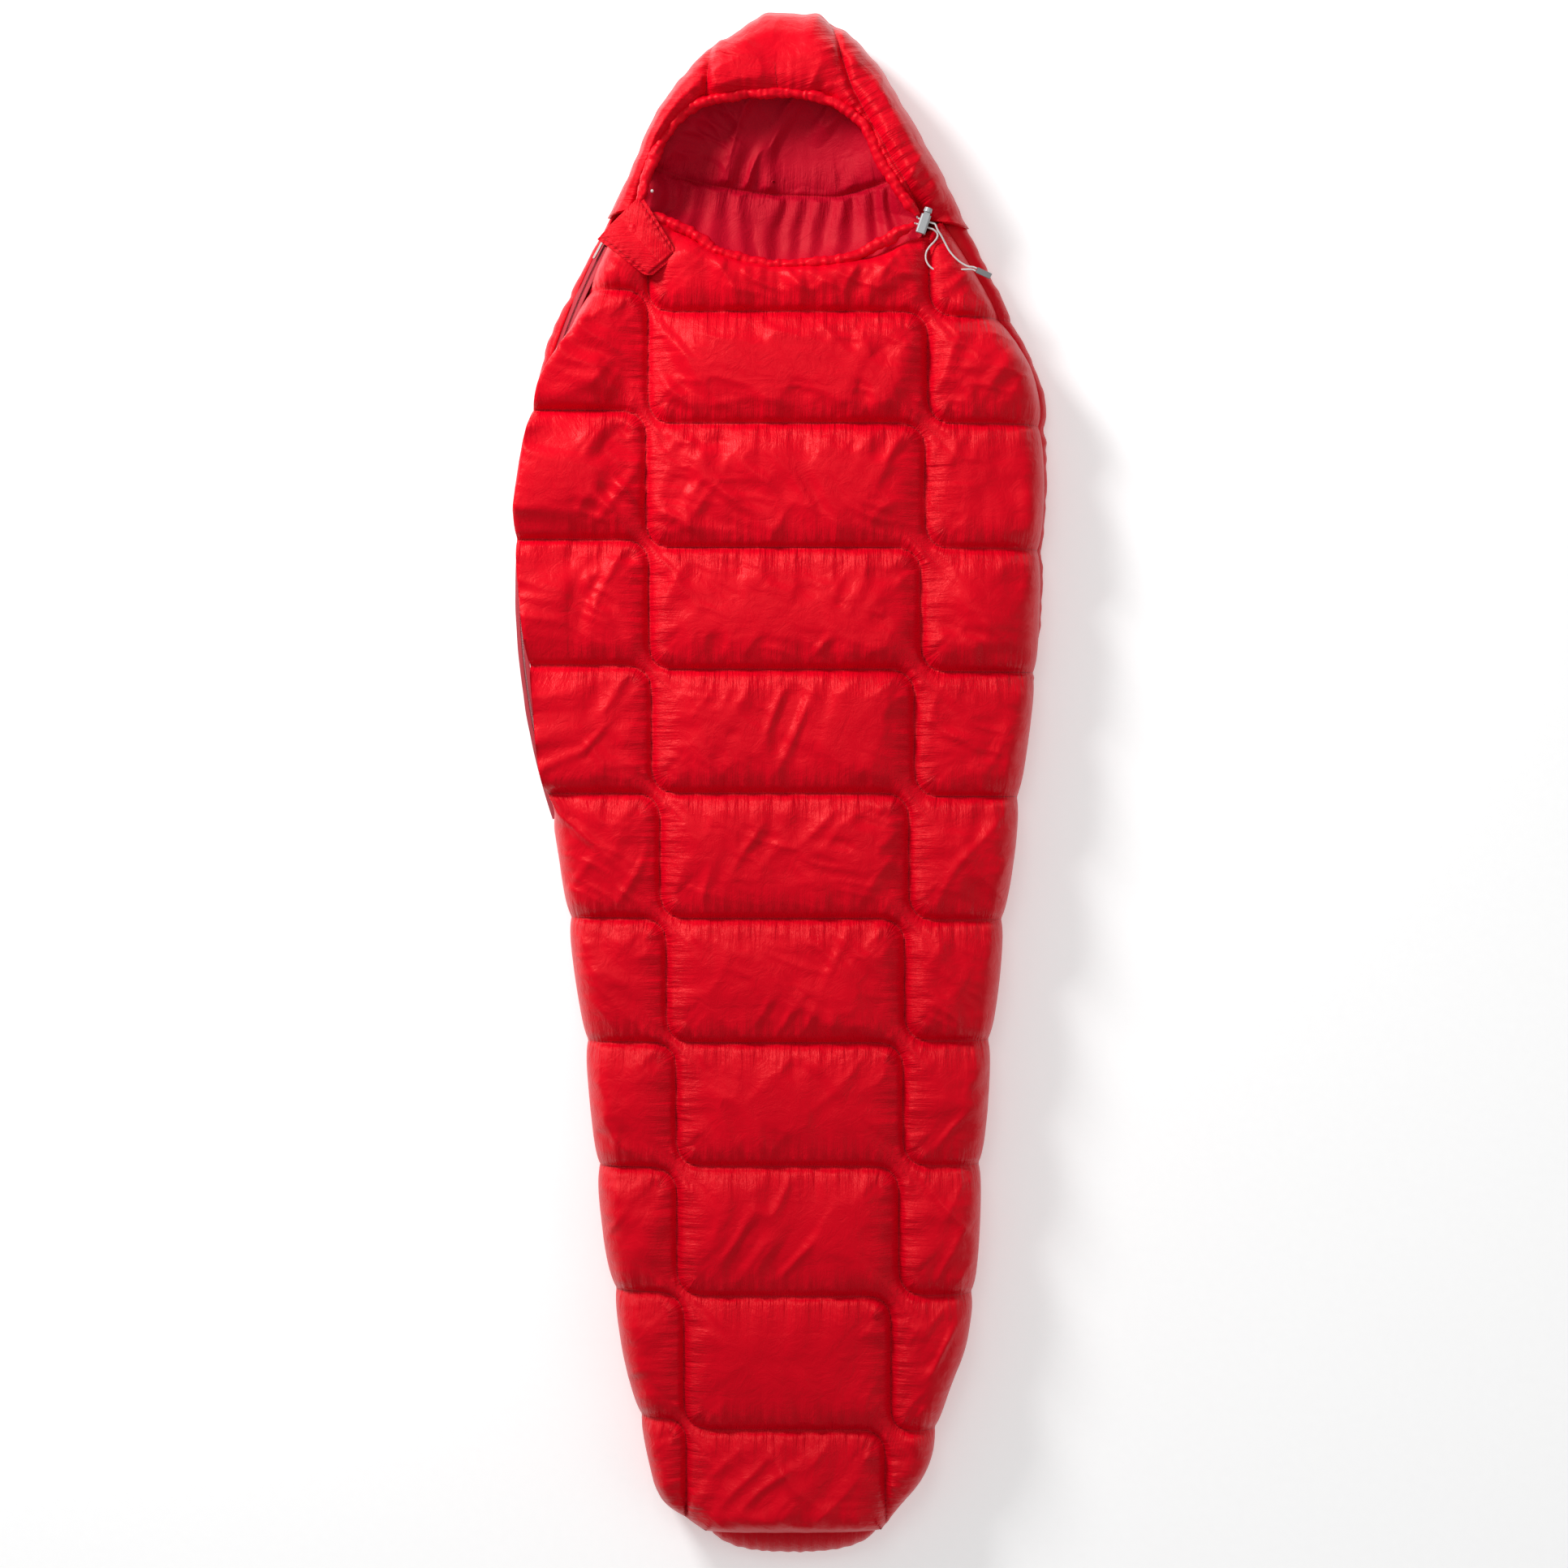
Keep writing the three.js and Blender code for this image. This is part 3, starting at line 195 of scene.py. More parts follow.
def smooth_line(points, step):
    """Points about step apart on the centripetal Catmull-Rom curve through the given points:
    knots are spaced by the square root of the distance between points, and each piece is
    blended from three lines in turn."""
    p = np.array(points, float)
    p = np.vstack([2 * p[0] - p[1], p, 2 * p[-1] - p[-2]])
    fine = []
    for i in range(1, len(p) - 2):
        a, b, c, d = p[i - 1 : i + 3]
        gaps = [max(np.linalg.norm(v - u), 1e-9) ** 0.5 for u, v in ((a, b), (b, c), (c, d))]
        k = np.concatenate([[0], np.cumsum(gaps)])
        t = np.linspace(k[1], k[2], 24, endpoint=i == len(p) - 3)[:, None]
        ab = (k[1] - t) / (k[1] - k[0]) * a + (t - k[0]) / (k[1] - k[0]) * b
        bc = (k[2] - t) / (k[2] - k[1]) * b + (t - k[1]) / (k[2] - k[1]) * c
        cd = (k[3] - t) / (k[3] - k[2]) * c + (t - k[2]) / (k[3] - k[2]) * d
        abc = (k[2] - t) / (k[2] - k[0]) * ab + (t - k[0]) / (k[2] - k[0]) * bc
        bcd = (k[3] - t) / (k[3] - k[1]) * bc + (t - k[1]) / (k[3] - k[1]) * cd
        fine.append((k[2] - t) / (k[2] - k[1]) * abc + (t - k[1]) / (k[2] - k[1]) * bcd)
    fine = np.vstack(fine)
    along = np.concatenate([[0], np.cumsum(np.linalg.norm(np.diff(fine, axis=0), axis=1))])
    at = np.linspace(0, along[-1], max(2, int(round(along[-1] / step))) + 1)
    return np.stack([np.interp(at, along, fine[:, k]) for k in range(3)], axis=1)


def piece(name, points, faces, uv=None, smooth=True):
    """A mesh object at the origin from an array of points and a list of faces."""
    mesh = bpy.data.meshes.new(name)
    mesh.from_pydata(np.asarray(points, float).reshape(-1, 3).tolist(), [], faces)
    mesh.update()
    if smooth:
        mesh.polygons.foreach_set("use_smooth", np.ones(len(mesh.polygons), bool))
    if uv is not None:
        loops = np.zeros(len(mesh.loops), int)
        mesh.loops.foreach_get("vertex_index", loops)
        layer = mesh.uv_layers.new(name="UVMap")
        layer.data.foreach_set("uv", np.asarray(uv, float).reshape(-1, 2)[loops].ravel())
    made = bpy.data.objects.new(name, mesh)
    bpy.context.collection.objects.link(made)
    return made


def grid_faces(rows, columns, wrap_rows=False, wrap_columns=False, start=0):
    """Quads between neighbouring points of a grid, counted row by row. A wrapped grid is
    closed from its last row or column back to its first."""
    i = np.arange(rows if wrap_rows else rows - 1)[:, None]
    j = np.arange(columns if wrap_columns else columns - 1)[None, :]
    i2, j2 = (i + 1) % rows, (j + 1) % columns
    quads = [i * columns + j, i * columns + j2, i2 * columns + j2, i2 * columns + j]
    return (np.stack(quads, axis=-1).reshape(-1, 4) + start).tolist()


def turned_over(faces):
    """The same faces seen from their other side."""
    return [f[::-1] for f in faces]


def frames_along(line):
    """Unit vectors along a line and two across it. The first one across is carried from
    point to point with as little turning as possible."""
    along = np.gradient(line, axis=0)
    along /= np.linalg.norm(along, axis=1, keepdims=True)
    side = np.cross(along[0], [0, 0, 1.0])
    sides = []
    for t in along:
        side = side - t * (side @ t)
        side = side / np.linalg.norm(side)
        sides.append(side)
    sides = np.array(sides)
    return along, sides, np.cross(sides, along)


def tube(name, line, radius, sides=16):
    """A round tube along a line. A point is the line's point plus the radius times cos of
    the angle in one direction across and sin in the other. Radius may be an array with one
    row for each point of the line and one column for each side."""
    _, across, up = frames_along(line)
    angle = np.linspace(0, 2 * np.pi, sides, endpoint=False)
    reach = np.broadcast_to(radius, (len(line), sides))[..., None]
    c, s = np.cos(angle)[None, :, None], np.sin(angle)[None, :, None]
    points = line[:, None] + (across[:, None] * c + up[:, None] * s) * reach
    first, last = list(range(sides)), list(range((len(line) - 1) * sides, len(line) * sides))
    faces = turned_over([*grid_faces(len(line), sides, wrap_columns=True), first[::-1], last])
    length = np.concatenate([[0], np.cumsum(np.linalg.norm(np.diff(line, axis=0), axis=1))])
    uv = np.stack(np.broadcast_arrays(angle[None, :] / (2 * np.pi), length[:, None]), axis=-1)
    made = piece(name, points, faces, uv)
    outward(made)
    return made


def outward(obj):
    """Turns every face over if the mesh's signed volume is negative."""
    mesh = obj.data
    mesh.calc_loop_triangles()
    p = np.zeros(len(mesh.vertices) * 3)
    t = np.zeros(len(mesh.loop_triangles) * 3, int)
    mesh.vertices.foreach_get("co", p)
    mesh.loop_triangles.foreach_get("vertices", t)
    a, b, c = p.reshape(-1, 3)[t.reshape(-1, 3)].transpose(1, 0, 2)
    if np.einsum("ij,ij->i", a, np.cross(b, c)).sum() < 0:
        mesh.flip_normals()


def braided_cord():
    """Elastic cord in a braided polyester sleeve: two sets of light grey yarns, each about
    0.6 mm wide, cross at 45 degrees. The braid catches light as small slanting ribs."""
    made, tree, out = material("braided_polyester_sleeve")
    uv = put(tree, "UVMap", uv_map="UVMap")
    stretch = put(tree, "Mapping", [("Vector", uv, "UV")])
    stretch.inputs["Scale"].default_value = (13, 1650, 1)
    ribs = []
    for turn in (1, -1):
        slant = put(tree, "Mapping", [("Vector", stretch, "Vector")])
        slant.inputs["Rotation"].default_value = (0, 0, turn * math.radians(45))
        ribs.append(put(tree, "TexWave", [("Vector", slant, "Vector")], Scale=0.3, Distortion=0.4))
    braid = put(tree, "Math", [(0, ribs[0], "Fac"), (1, ribs[1], "Fac")], operation="MAXIMUM")
    tone = put(tree, "MixRGB", [("Fac", braid, "Value")],
        Color1=linear("#A79F9D"), Color2=linear("#E9E4E2"))
    bump = put(tree, "Bump", [("Height", braid, "Value")], Strength=0.6, Distance=0.0003)
    yarn = put(tree, "BsdfPrincipled", [("Base Color", tone, "Color"), ("Normal", bump, "Normal")],
        Roughness=0.6)
    yarn.inputs["Sheen Weight"].default_value = 0.3
    tree.links.new(yarn.outputs["BSDF"], out.inputs["Surface"])
    return made


cord_finish = braided_cord()
for side, y, middle, end_y in (
    ("upper", UPPER_CORD_Y, UPPER_TAIL, CORD_END_HOLE),
    ("lower", LOWER_CORD_Y, LOWER_TAIL, -CORD_END_HOLE),
):
    end_lead = (CORD_END_FACE - CORD_END_LEAD, CORD_END_FACE)
    route = [turned(LOCK_PLACE, LOCK_TURN, x, y) for x in (LOCK_FACE, *LOCK_LEAD)]
    route += [np.array(p) for p in middle]
    route += [turned(CORD_END_PLACE, CORD_END_TURN, x, end_y) for x in end_lead]
    line = smooth_line(route, CORD_STEP)
    made = tube(f"drawcord_{side}", line, CORD_DIAMETER / 2, 14)
    made.data.materials.append(cord_finish)
    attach(made, "bag_back")
    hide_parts(f"cord_tail_{side}")


# ---------------------------------------------------------------------------------------
# Front quilt: shiny red polyester taffeta over loose filling, sewn through in three columns
# of rows. Each seam steps down one row from column to column, so the cells join through
# small necks. The fabric is gathered along every seam and puckers at right angles to it.
def linear_through(pairs):
    """A function that joins (place, value) pairs by straight lines, smoothed by averaging
    it over 40 mm with five samples."""
    places, values = np.array(sorted(pairs), float).T
    offsets = (-0.02, -0.01, 0, 0.01, 0.02)
    return lambda at: sum(np.interp(np.asarray(at, float) + by, places, values) for by in offsets) / 5


LEFT_OUTLINE = linear_through([
    (-1.096, -0.052), (-1.084, -0.082), (-1.064, -0.112), (-1.042, -0.158), (-1.017, -0.180),
    (-0.960, -0.194), (-0.891, -0.211), (-0.821, -0.228), (-0.730, -0.243), (-0.672, -0.254),
    (-0.580, -0.265), (-0.500, -0.272), (-0.408, -0.281), (-0.338, -0.288), (-0.258, -0.300),
    (-0.177, -0.311), (-0.108, -0.320), (-0.039, -0.332), (0.018, -0.343), (0.122, -0.352),
    (0.202, -0.364), (0.283, -0.372), (0.346, -0.378), (0.398, -0.380), (0.444, -0.377),
    (0.513, -0.366), (0.571, -0.355), (0.634, -0.341), (0.709, -0.308), (0.777, -0.268),
    (0.847, -0.234), (0.893, -0.211), (0.939, -0.194), (0.985, -0.166), (1.031, -0.128),
    (1.067, -0.096), (1.089, -0.044), (1.098, -0.020),
])
RIGHT_OUTLINE = linear_through([
    (-1.098, 0.066), (-1.090, 0.106), (-1.075, 0.140), (-1.042, 0.152), (-1.017, 0.181),
    (-0.971, 0.209), (-0.919, 0.221), (-0.856, 0.238), (-0.810, 0.258), (-0.730, 0.273),
    (-0.649, 0.278), (-0.557, 0.282), (-0.465, 0.290), (-0.373, 0.296), (-0.281, 0.307),
    (-0.189, 0.316), (-0.097, 0.329), (-0.016, 0.338), (0.099, 0.353), (0.191, 0.365),
    (0.283, 0.371), (0.364, 0.374), (0.421, 0.378), (0.559, 0.377), (0.640, 0.342),
    (0.686, 0.319), (0.755, 0.284), (0.858, 0.232), (0.933, 0.192), (0.973, 0.166),
    (1.014, 0.146), (1.048, 0.117), (1.085, 0.089), (1.096, 0.040),
])
RIGHT_SEAM = linear_through([
    (0.150, 0.360), (0.329, 0.366), (0.421, 0.370), (0.536, 0.367), (0.594, 0.352), (0.651, 0.318),
    (0.720, 0.277), (0.766, 0.248), (0.801, 0.226), (0.83, 0.205),
])
RIGHT_SEAM_START = 0.15
ZIP_CENTRE = np.array([0.667, 0.282])
ZIP_RADIUS = 1.044
ZIP_LOW = -0.070
ZIP_OPENS_IN = 0.085
ZIP_INSET = 0.010
COLLAR = np.array([
    (-0.232, 0.806), (-0.197, 0.808), (-0.183, 0.803), (-0.154, 0.792), (-0.128, 0.778),
    (-0.096, 0.756), (-0.059, 0.744), (-0.015, 0.735), (0.040, 0.738), (0.096, 0.747),
    (0.136, 0.766), (0.180, 0.784), (0.215, 0.806),
])
COLLAR_Y = 0.800
CHEST_Y = 0.50
FOOT_SEAM = -1.066
LEFT_ROWS = [0.701, 0.530, 0.347, 0.168, -0.013, -0.190, -0.366, -0.544, -0.721, -0.902]
CENTRE_ROWS = [0.670, 0.511, 0.335, 0.162, -0.013, -0.191, -0.367, -0.542, -0.726, -0.917]
RIGHT_ROWS = [0.664, 0.511, 0.334, 0.159, -0.018, -0.193, -0.365, -0.542, -0.726, -0.920]
LEFT_VERTICAL = [-0.193, -0.193, -0.196, -0.192, -0.188, -0.176, -0.167, -0.153, -0.152, -0.142, -0.139]
RIGHT_VERTICAL = [0.206, 0.204, 0.200, 0.194, 0.185, 0.177, 0.171, 0.169, 0.163, 0.152, 0.144]
CORNER_ROUND = 0.040
SEAM_STEP = 0.004
SIDE_SEAM_HEIGHT = 0.047
QUILT_CROWN = 0.028
EDGE_LOFT = 0.024
CELL_LOFT = 0.027
CELL_REACH = 0.090
EDGE_REACH = 0.050
CELL_TOP = 0.128
QUILT_TOP = 0.130
ZIP_LIFT = 0.019
ZIP_LIFT_REACH = 0.10
OVER_ZIP = 0.044
OVER_ZIP_WIDTH = 0.055
NECK_LIFT = 0.012
LINING_LIFT = 0.012
LINING_LOFT = 0.009
SHORT_PUCKER = 0.0042
LONG_PUCKER = 0.0062


def zip_x(y):
    """X of the zip line at a height y: the left side of its circle."""
    rise = np.clip(y, -0.3, 0.80) - ZIP_CENTRE[1]
    return ZIP_CENTRE[0] - np.sqrt(ZIP_RADIUS**2 - rise**2)


def smooth(t):
    """Rises from 0 to 1 as t goes from 0 to 1: 3t^2 - 2t^3."""
    t = np.clip(t, 0, 1)
    return t * t * (3 - 2 * t)


def left_side(y):
    """Left edge of the front quilt: the outline below the zip, and inside the zip beside it."""
    share = smooth((np.asarray(y) - ZIP_LOW) / ZIP_OPENS_IN)
    return (1 - share) * (LEFT_OUTLINE(y) + 0.001) + share * (zip_x(y) + ZIP_INSET)


def right_side(y):
    """Right edge of the front quilt: the outline, drawn in from the hips up."""
    return np.where(np.asarray(y) > RIGHT_SEAM_START, RIGHT_SEAM(y), RIGHT_OUTLINE(y) - 0.001)


def rounded(corners, radius):
    """A line through corner points, each inner corner replaced by a curve that starts and
    ends one radius from it (a quadratic Bezier with the corner as its middle control)."""
    line = [corners[0]]
    for a, b, c in zip(corners, corners[1:], corners[2:]):
        a, b, c = (np.array(p, float) for p in (a, b, c))
        near = min(radius, np.linalg.norm(b - a) / 2, np.linalg.norm(c - b) / 2)
        p = b + (a - b) / np.linalg.norm(a - b) * near
        q = b + (c - b) / np.linalg.norm(c - b) * near
        line += [(1 - t) ** 2 * p + 2 * t * (1 - t) * b + t * t * q for t in np.linspace(0, 1, 9)]
    return np.array([*line, corners[-1]], float)


def resampled(line, step):
    """The same line with points one step apart."""
    along = np.concatenate([[0], np.cumsum(np.linalg.norm(np.diff(line, axis=0), axis=1))])
    at = np.linspace(0, along[-1], max(3, int(along[-1] / step)))
    return np.stack([np.interp(at, along, line[:, k]) for k in range(line.shape[1])], axis=1)


def seam_lines():
    """Every quilting seam in plan: left row k, down the left vertical, centre row k + 1,
    down the right vertical, right row k + 2."""
    lines = []
    for k in range(-2, len(LEFT_ROWS)):
        way = []
        if k >= 0:
            y = LEFT_ROWS[k]
            way += [(float(left_side(y)), y), (LEFT_VERTICAL[k + 1], y)]
        if k == -1:
            way += [(LEFT_VERTICAL[0], 0.745)]
        if k == -2:
            way += [(RIGHT_VERTICAL[0], 0.775)]
        if -1 <= k < len(CENTRE_ROWS) - 1:
            y = CENTRE_ROWS[k + 1]
            way += [(LEFT_VERTICAL[k + 1], y), (RIGHT_VERTICAL[k + 2], y)]
        if k < len(RIGHT_ROWS) - 2:
            y = RIGHT_ROWS[k + 2]
            way += [(RIGHT_VERTICAL[k + 2], y), (float(right_side(y)), y)]
        elif k < len(CENTRE_ROWS) - 1:
            way += [(RIGHT_VERTICAL[-1], FOOT_SEAM)]
        else:
            way += [(LEFT_VERTICAL[-1], FOOT_SEAM)]
        lines.append(resampled(rounded(way, CORNER_ROUND), SEAM_STEP))
    return lines


def seam_field(points, lines):
    """For each plan point its distance to the nearest line, how far along that line the
    nearest place is, and which side of it the point is on. The nearest sample of a line is
    found first, and then the point is measured against that sample's own direction."""
    place = np.vstack(lines).astype(np.float32)
    way, run, start = [], [], 0.0
    for line in lines:
        steps = np.linalg.norm(np.diff(line, axis=0), axis=1)
        run.append(start + np.concatenate([[0], np.cumsum(steps)]))
        start = run[-1][-1] + 1.7
        tangent = np.gradient(line, axis=0)
        way.append(tangent / np.linalg.norm(tangent, axis=1, keepdims=True))
    way, run = np.vstack(way), np.concatenate(run)
    order = np.argsort(points[:, 1])
    near = np.zeros(len(points), int)
    for part in np.array_split(order, max(1, len(points) // 1500)):
        low, high = points[part[0], 1] - 0.22, points[part[-1], 1] + 0.22
        some = np.flatnonzero((place[:, 1] > low) & (place[:, 1] < high))
        gap = points[part, None].astype(np.float32) - place[some][None]
        near[part] = some[np.argmin((gap**2).sum(axis=2), axis=1)]
    gap = points - place[near]
    along = (gap * way[near]).sum(axis=1)
    across = way[near, 0] * gap[:, 1] - way[near, 1] * gap[:, 0]
    past = np.maximum(0, np.abs(along) - 0.0025)
    return np.hypot(across, past), run[near] + along, np.where(across < 0, -1.0, 1.0)


def ripple(at, low, high, seed, length=40.0):
    """A wavy function of length: random heights from 0 to 1, alternately low and high, at
    places low to high apart, joined smoothly."""
    own = np.random.default_rng(seed)
    places = np.cumsum(own.uniform(low, high, int(length / low)))
    tops = own.uniform(0.35, 1, len(places)) * (np.arange(len(places)) % 2)
    i = np.clip(np.searchsorted(places, at) - 1, 0, len(places) - 2)
    t = smooth((at - places[i]) / (places[i + 1] - places[i]))
    return tops[i] * (1 - t) + tops[i + 1] * t


def cloud(x, y, size, seed):
    """Value noise from -1 to 1: random values on a square lattice of the given size, joined
    with the 3t^2 - 2t^3 curve along both axes."""
    lattice = np.random.default_rng(seed).uniform(-1, 1, (256, 256))
    u, v = np.asarray(x) / size + 64, np.asarray(y) / size + 64
    i, j = np.floor(u).astype(int), np.floor(v).astype(int)
    s, t = smooth(u - i), smooth(v - j)
    a, b = lattice[i % 256, j % 256], lattice[(i + 1) % 256, j % 256]
    c, d = lattice[i % 256, (j + 1) % 256], lattice[(i + 1) % 256, (j + 1) % 256]
    return (a * (1 - s) + b * s) * (1 - t) + (c * (1 - s) + d * s) * t


def gathers(distance, run, side, seed):
    """Height of the puckers beside a seam. Short ones 10 to 20 mm apart die out in about
    20 mm, and long ones 30 to 70 mm apart run on into the cell. Both are nothing on the
    seam itself."""
    along = run + np.where(side > 0, 0.0, 0.613)
    short = ripple(along, 0.0055, 0.011, seed) * np.exp(-distance / 0.020)
    long = ripple(along + distance * 0.25, 0.017, 0.036, seed + 1) * np.exp(-distance / 0.050)
    return smooth(distance / 0.010) * (SHORT_PUCKER * short + LONG_PUCKER * long)


def folds(x, y, seed):
    """Slack folds that run slantwise over the cells: three layers of noise, each stretched
    along its own slanting direction and pushed about by up to 25 mm of slower noise, made
    into soft ridges by 1 - 2.2 |noise|. Slower noise again decides where each layer shows."""
    x = x + 0.025 * cloud(x, y, 0.13, seed + 3)
    y = y + 0.025 * cloud(x, y, 0.15, seed + 4)
    layers = ((0.75, 0.034, 1.0), (-0.55, 0.030, 0.8), (1.25, 0.016, 0.35))
    total = 0.0
    for k, (angle, size, amount) in enumerate(layers):
        u = x * math.cos(angle) + y * math.sin(angle)
        v = -x * math.sin(angle) + y * math.cos(angle)
        shown = smooth(0.5 + 1.3 * cloud(x, y, 0.16, seed + 10 + k))
        ridge = 1 - np.abs(cloud(u, v / 3.2, size, seed + k)) * 2.2
        total = total + amount * shown * np.maximum(ridge, -0.4)
    return total


def loft_height(distance, reach):
    """How high the filling lifts the fabric: a quarter of an ellipse from the seam to a
    distance called reach, as a share of the full loft."""
    t = 1 - np.minimum(distance / reach, 1)
    return (1 - t**2.2) ** 0.62


def open_cloth(run):
    """1 in open cloth, falling to 0 where the nearest seam changes from one grid point to the
    next, so that the puckers of one seam die out before those of another begin."""
    change = np.zeros(run.shape)
    change[1:] = np.abs(np.diff(run, axis=0)) > 0.02
    change[:, 1:] = np.maximum(change[:, 1:], np.abs(np.diff(run, axis=1)) > 0.02)
    for _ in range(5):
        wide = np.pad(change, 1, mode="edge")
        near = np.maximum.reduce([wide[:-2, 1:-1], wide[2:, 1:-1], wide[1:-1, :-2], wide[1:-1, 2:]])
        change = np.maximum(change, near - 0.2)
    return 1 - smooth(change)


def quilt_plan(step):
    """Plan points of the front quilt on a grid: straight rows below the chest, bending to
    the dipped collar above it, and columns that share the width out evenly."""
    v = np.linspace(FOOT_SEAM, COLLAR_Y, int((COLLAR_Y - FOOT_SEAM) / step) + 1)
    u = np.linspace(0, 1, int(0.74 / step) + 1)
    y = np.broadcast_to(v[:, None], (len(v), len(u)))
    top_x = COLLAR[0, 0] + (COLLAR[-1, 0] - COLLAR[0, 0]) * u
    top = np.interp(top_x, COLLAR[:, 0], COLLAR[:, 1])
    top = np.convolve(np.pad(top, 6, mode="edge"), np.ones(13) / 13, "valid")
    bend = np.clip((v[:, None] - CHEST_Y) / (COLLAR_Y - CHEST_Y), 0, 1) ** 2
    y = y + bend * (top - COLLAR_Y)[None, :]
    low, high = left_side(y), right_side(y)
    return u, low + (high - low) * u[None, :], y


def pull_in(x, y, rows_left, rows_right):
    """How far the fabric is drawn in at the two sides beside each seam end: 4 mm on the
    seam, dying out in 20 mm, and nothing in the middle of the width."""
    low, high = left_side(y), right_side(y)
    share = (x - low) / (high - low)
    at_left, at_right = smooth(1 - share / 0.12), smooth(1 - (1 - share) / 0.12)
    moved = np.zeros_like(x)
    for rows, weight in ((rows_left, at_left), (rows_right, -at_right)):
        gap = np.abs(y[..., None] - np.array(rows)).min(axis=-1)
        moved = moved + weight * (0.006 * np.exp(-gap / 0.018) - 0.002)
    return moved


def closed_shell(name, upper, lower, uv):
    """A closed piece from an upper and a lower grid of one size: both surfaces, and a wall
    of quads between their edges."""
    rows, columns = upper.shape[:2]
    count = rows * columns
    edge = np.concatenate([
        np.arange(columns),
        np.arange(1, rows) * columns + columns - 1,
        (rows - 1) * columns + np.arange(columns - 2, -1, -1),
        np.arange(rows - 2, 0, -1) * columns,
    ])
    after = np.roll(edge, -1)
    wall = np.stack([edge + count, after + count, after, edge], axis=1)
    faces = grid_faces(rows, columns) + turned_over(grid_faces(rows, columns, start=count))
    points = np.vstack([upper.reshape(-1, 3), lower.reshape(-1, 3)])
    uv = uv.reshape(-1, 2)
    made = piece(name, points, faces + wall.tolist(), np.vstack([uv, uv]))
    outward(made)
    return made


step = 0.0036
columns, plan_x, plan_y = quilt_plan(step)
plan = np.stack([plan_x, plan_y], axis=2)
edges = (plan[:, 0], plan[:, -1], plan[0], plan[-1])
border = [resampled(edge, SEAM_STEP) for edge in edges]
seam_gap, seam_run, seam_side = (
    a.reshape(plan_x.shape) for a in seam_field(plan.reshape(-1, 2), seam_lines()))
edge_gap, edge_run, _ = (a.reshape(plan_x.shape) for a in seam_field(plan.reshape(-1, 2), border))

# The height adds up the side seam, the crown across the width, the loft of the edge and of
# each cell, the puckers along the seams, and slack folds in the middle of the cells.
across = np.abs(2 * columns[None, :] - 1)
lens = (1 - across**3.0) ** 0.62
along_foot = 0.50 + 0.50 * smooth((plan_y - FOOT_SEAM) / 0.42)
along_neck = 1 - 0.15 * smooth((plan_y - CHEST_Y) / 0.30)
puff = loft_height(seam_gap, CELL_REACH) * loft_height(edge_gap + 0.012, EDGE_REACH)
calm = open_cloth(seam_run)
top = SIDE_SEAM_HEIGHT + QUILT_CROWN * lens * along_foot * along_neck
top = top + EDGE_LOFT * loft_height(edge_gap, 0.035) + CELL_LOFT * puff
top = top + gathers(seam_gap, seam_run, seam_side, 11) * smooth(edge_gap / 0.02) * calm
top = top + gathers(edge_gap, edge_run, np.ones_like(edge_run), 31) * 0.8 * smooth(seam_gap / 0.01)
slack = 0.0045 + 0.0030 * smooth((plan_y + 0.2) / 0.8)
top = top + slack * puff * folds(plan_x, plan_y, 51) * smooth(seam_gap / 0.03)
top = top + slack * cloud(plan_x, plan_y, 0.10, 71) * puff
top = np.minimum(top, CELL_TOP + 0.2 * (top - CELL_TOP))

# Beside the zip the edge is lifted over it and bulges past it, and at the neck the middle
# stands a little higher.
inward = plan_x - plan_x[:, :1]
beside_zip = smooth((plan_y - ZIP_LOW) / ZIP_OPENS_IN)
lifted = ZIP_LIFT * beside_zip * (1 - smooth(inward / ZIP_LIFT_REACH))
top = top + lifted
top = top + NECK_LIFT * smooth((plan_y - 0.66) / 0.10) * (1 - smooth(np.abs(plan_x) / 0.22))
top = np.minimum(top, QUILT_TOP + 0.4 * (top - QUILT_TOP))
over_zip = beside_zip * (1 - smooth((plan_y - 0.56) / 0.14))
roll = np.clip(inward / OVER_ZIP_WIDTH, 0, 1)
plan_x = np.maximum(plan_x - OVER_ZIP * over_zip * 4 * roll * (1 - roll), LEFT_OUTLINE(plan_y) - 0.003)
held_out = 1 - 0.6 * over_zip * (1 - roll)
plan_x = plan_x + pull_in(plan_x, plan_y, LEFT_ROWS, RIGHT_ROWS) * held_out

# The lining below is drawn to the same seams and puffs the other way.
under = SIDE_SEAM_HEIGHT + LINING_LIFT * smooth(edge_gap / 0.05) + lifted
under = under - LINING_LOFT * loft_height(seam_gap, 0.050) * smooth(edge_gap / 0.06)
under = np.minimum(under, top - 0.002 * smooth(edge_gap / 0.004))
front_quilt = closed_shell("front_quilt", np.stack([plan_x, plan_y, top], axis=2),
    np.stack([plan_x, plan_y, under], axis=2), np.stack([seam_run, seam_side * seam_gap], axis=2))


def seam_attributes(obj, gap, puckers=1.0):
    """Keeps each vertex's distance to its seam with the mesh, and how strongly the fabric
    puckers there, for the fabric's shader."""
    for name, values in (("seam_distance", gap), ("pucker", puckers)):
        layer = obj.data.attributes.new(name, "FLOAT", "POINT")
        values = np.broadcast_to(np.asarray(values, np.float32), np.shape(gap))
        layer.data.foreach_set("value", np.ascontiguousarray(values).ravel())


seam_attributes(front_quilt, np.stack([seam_gap, seam_gap]), np.stack([calm, 0.5 * calm]))


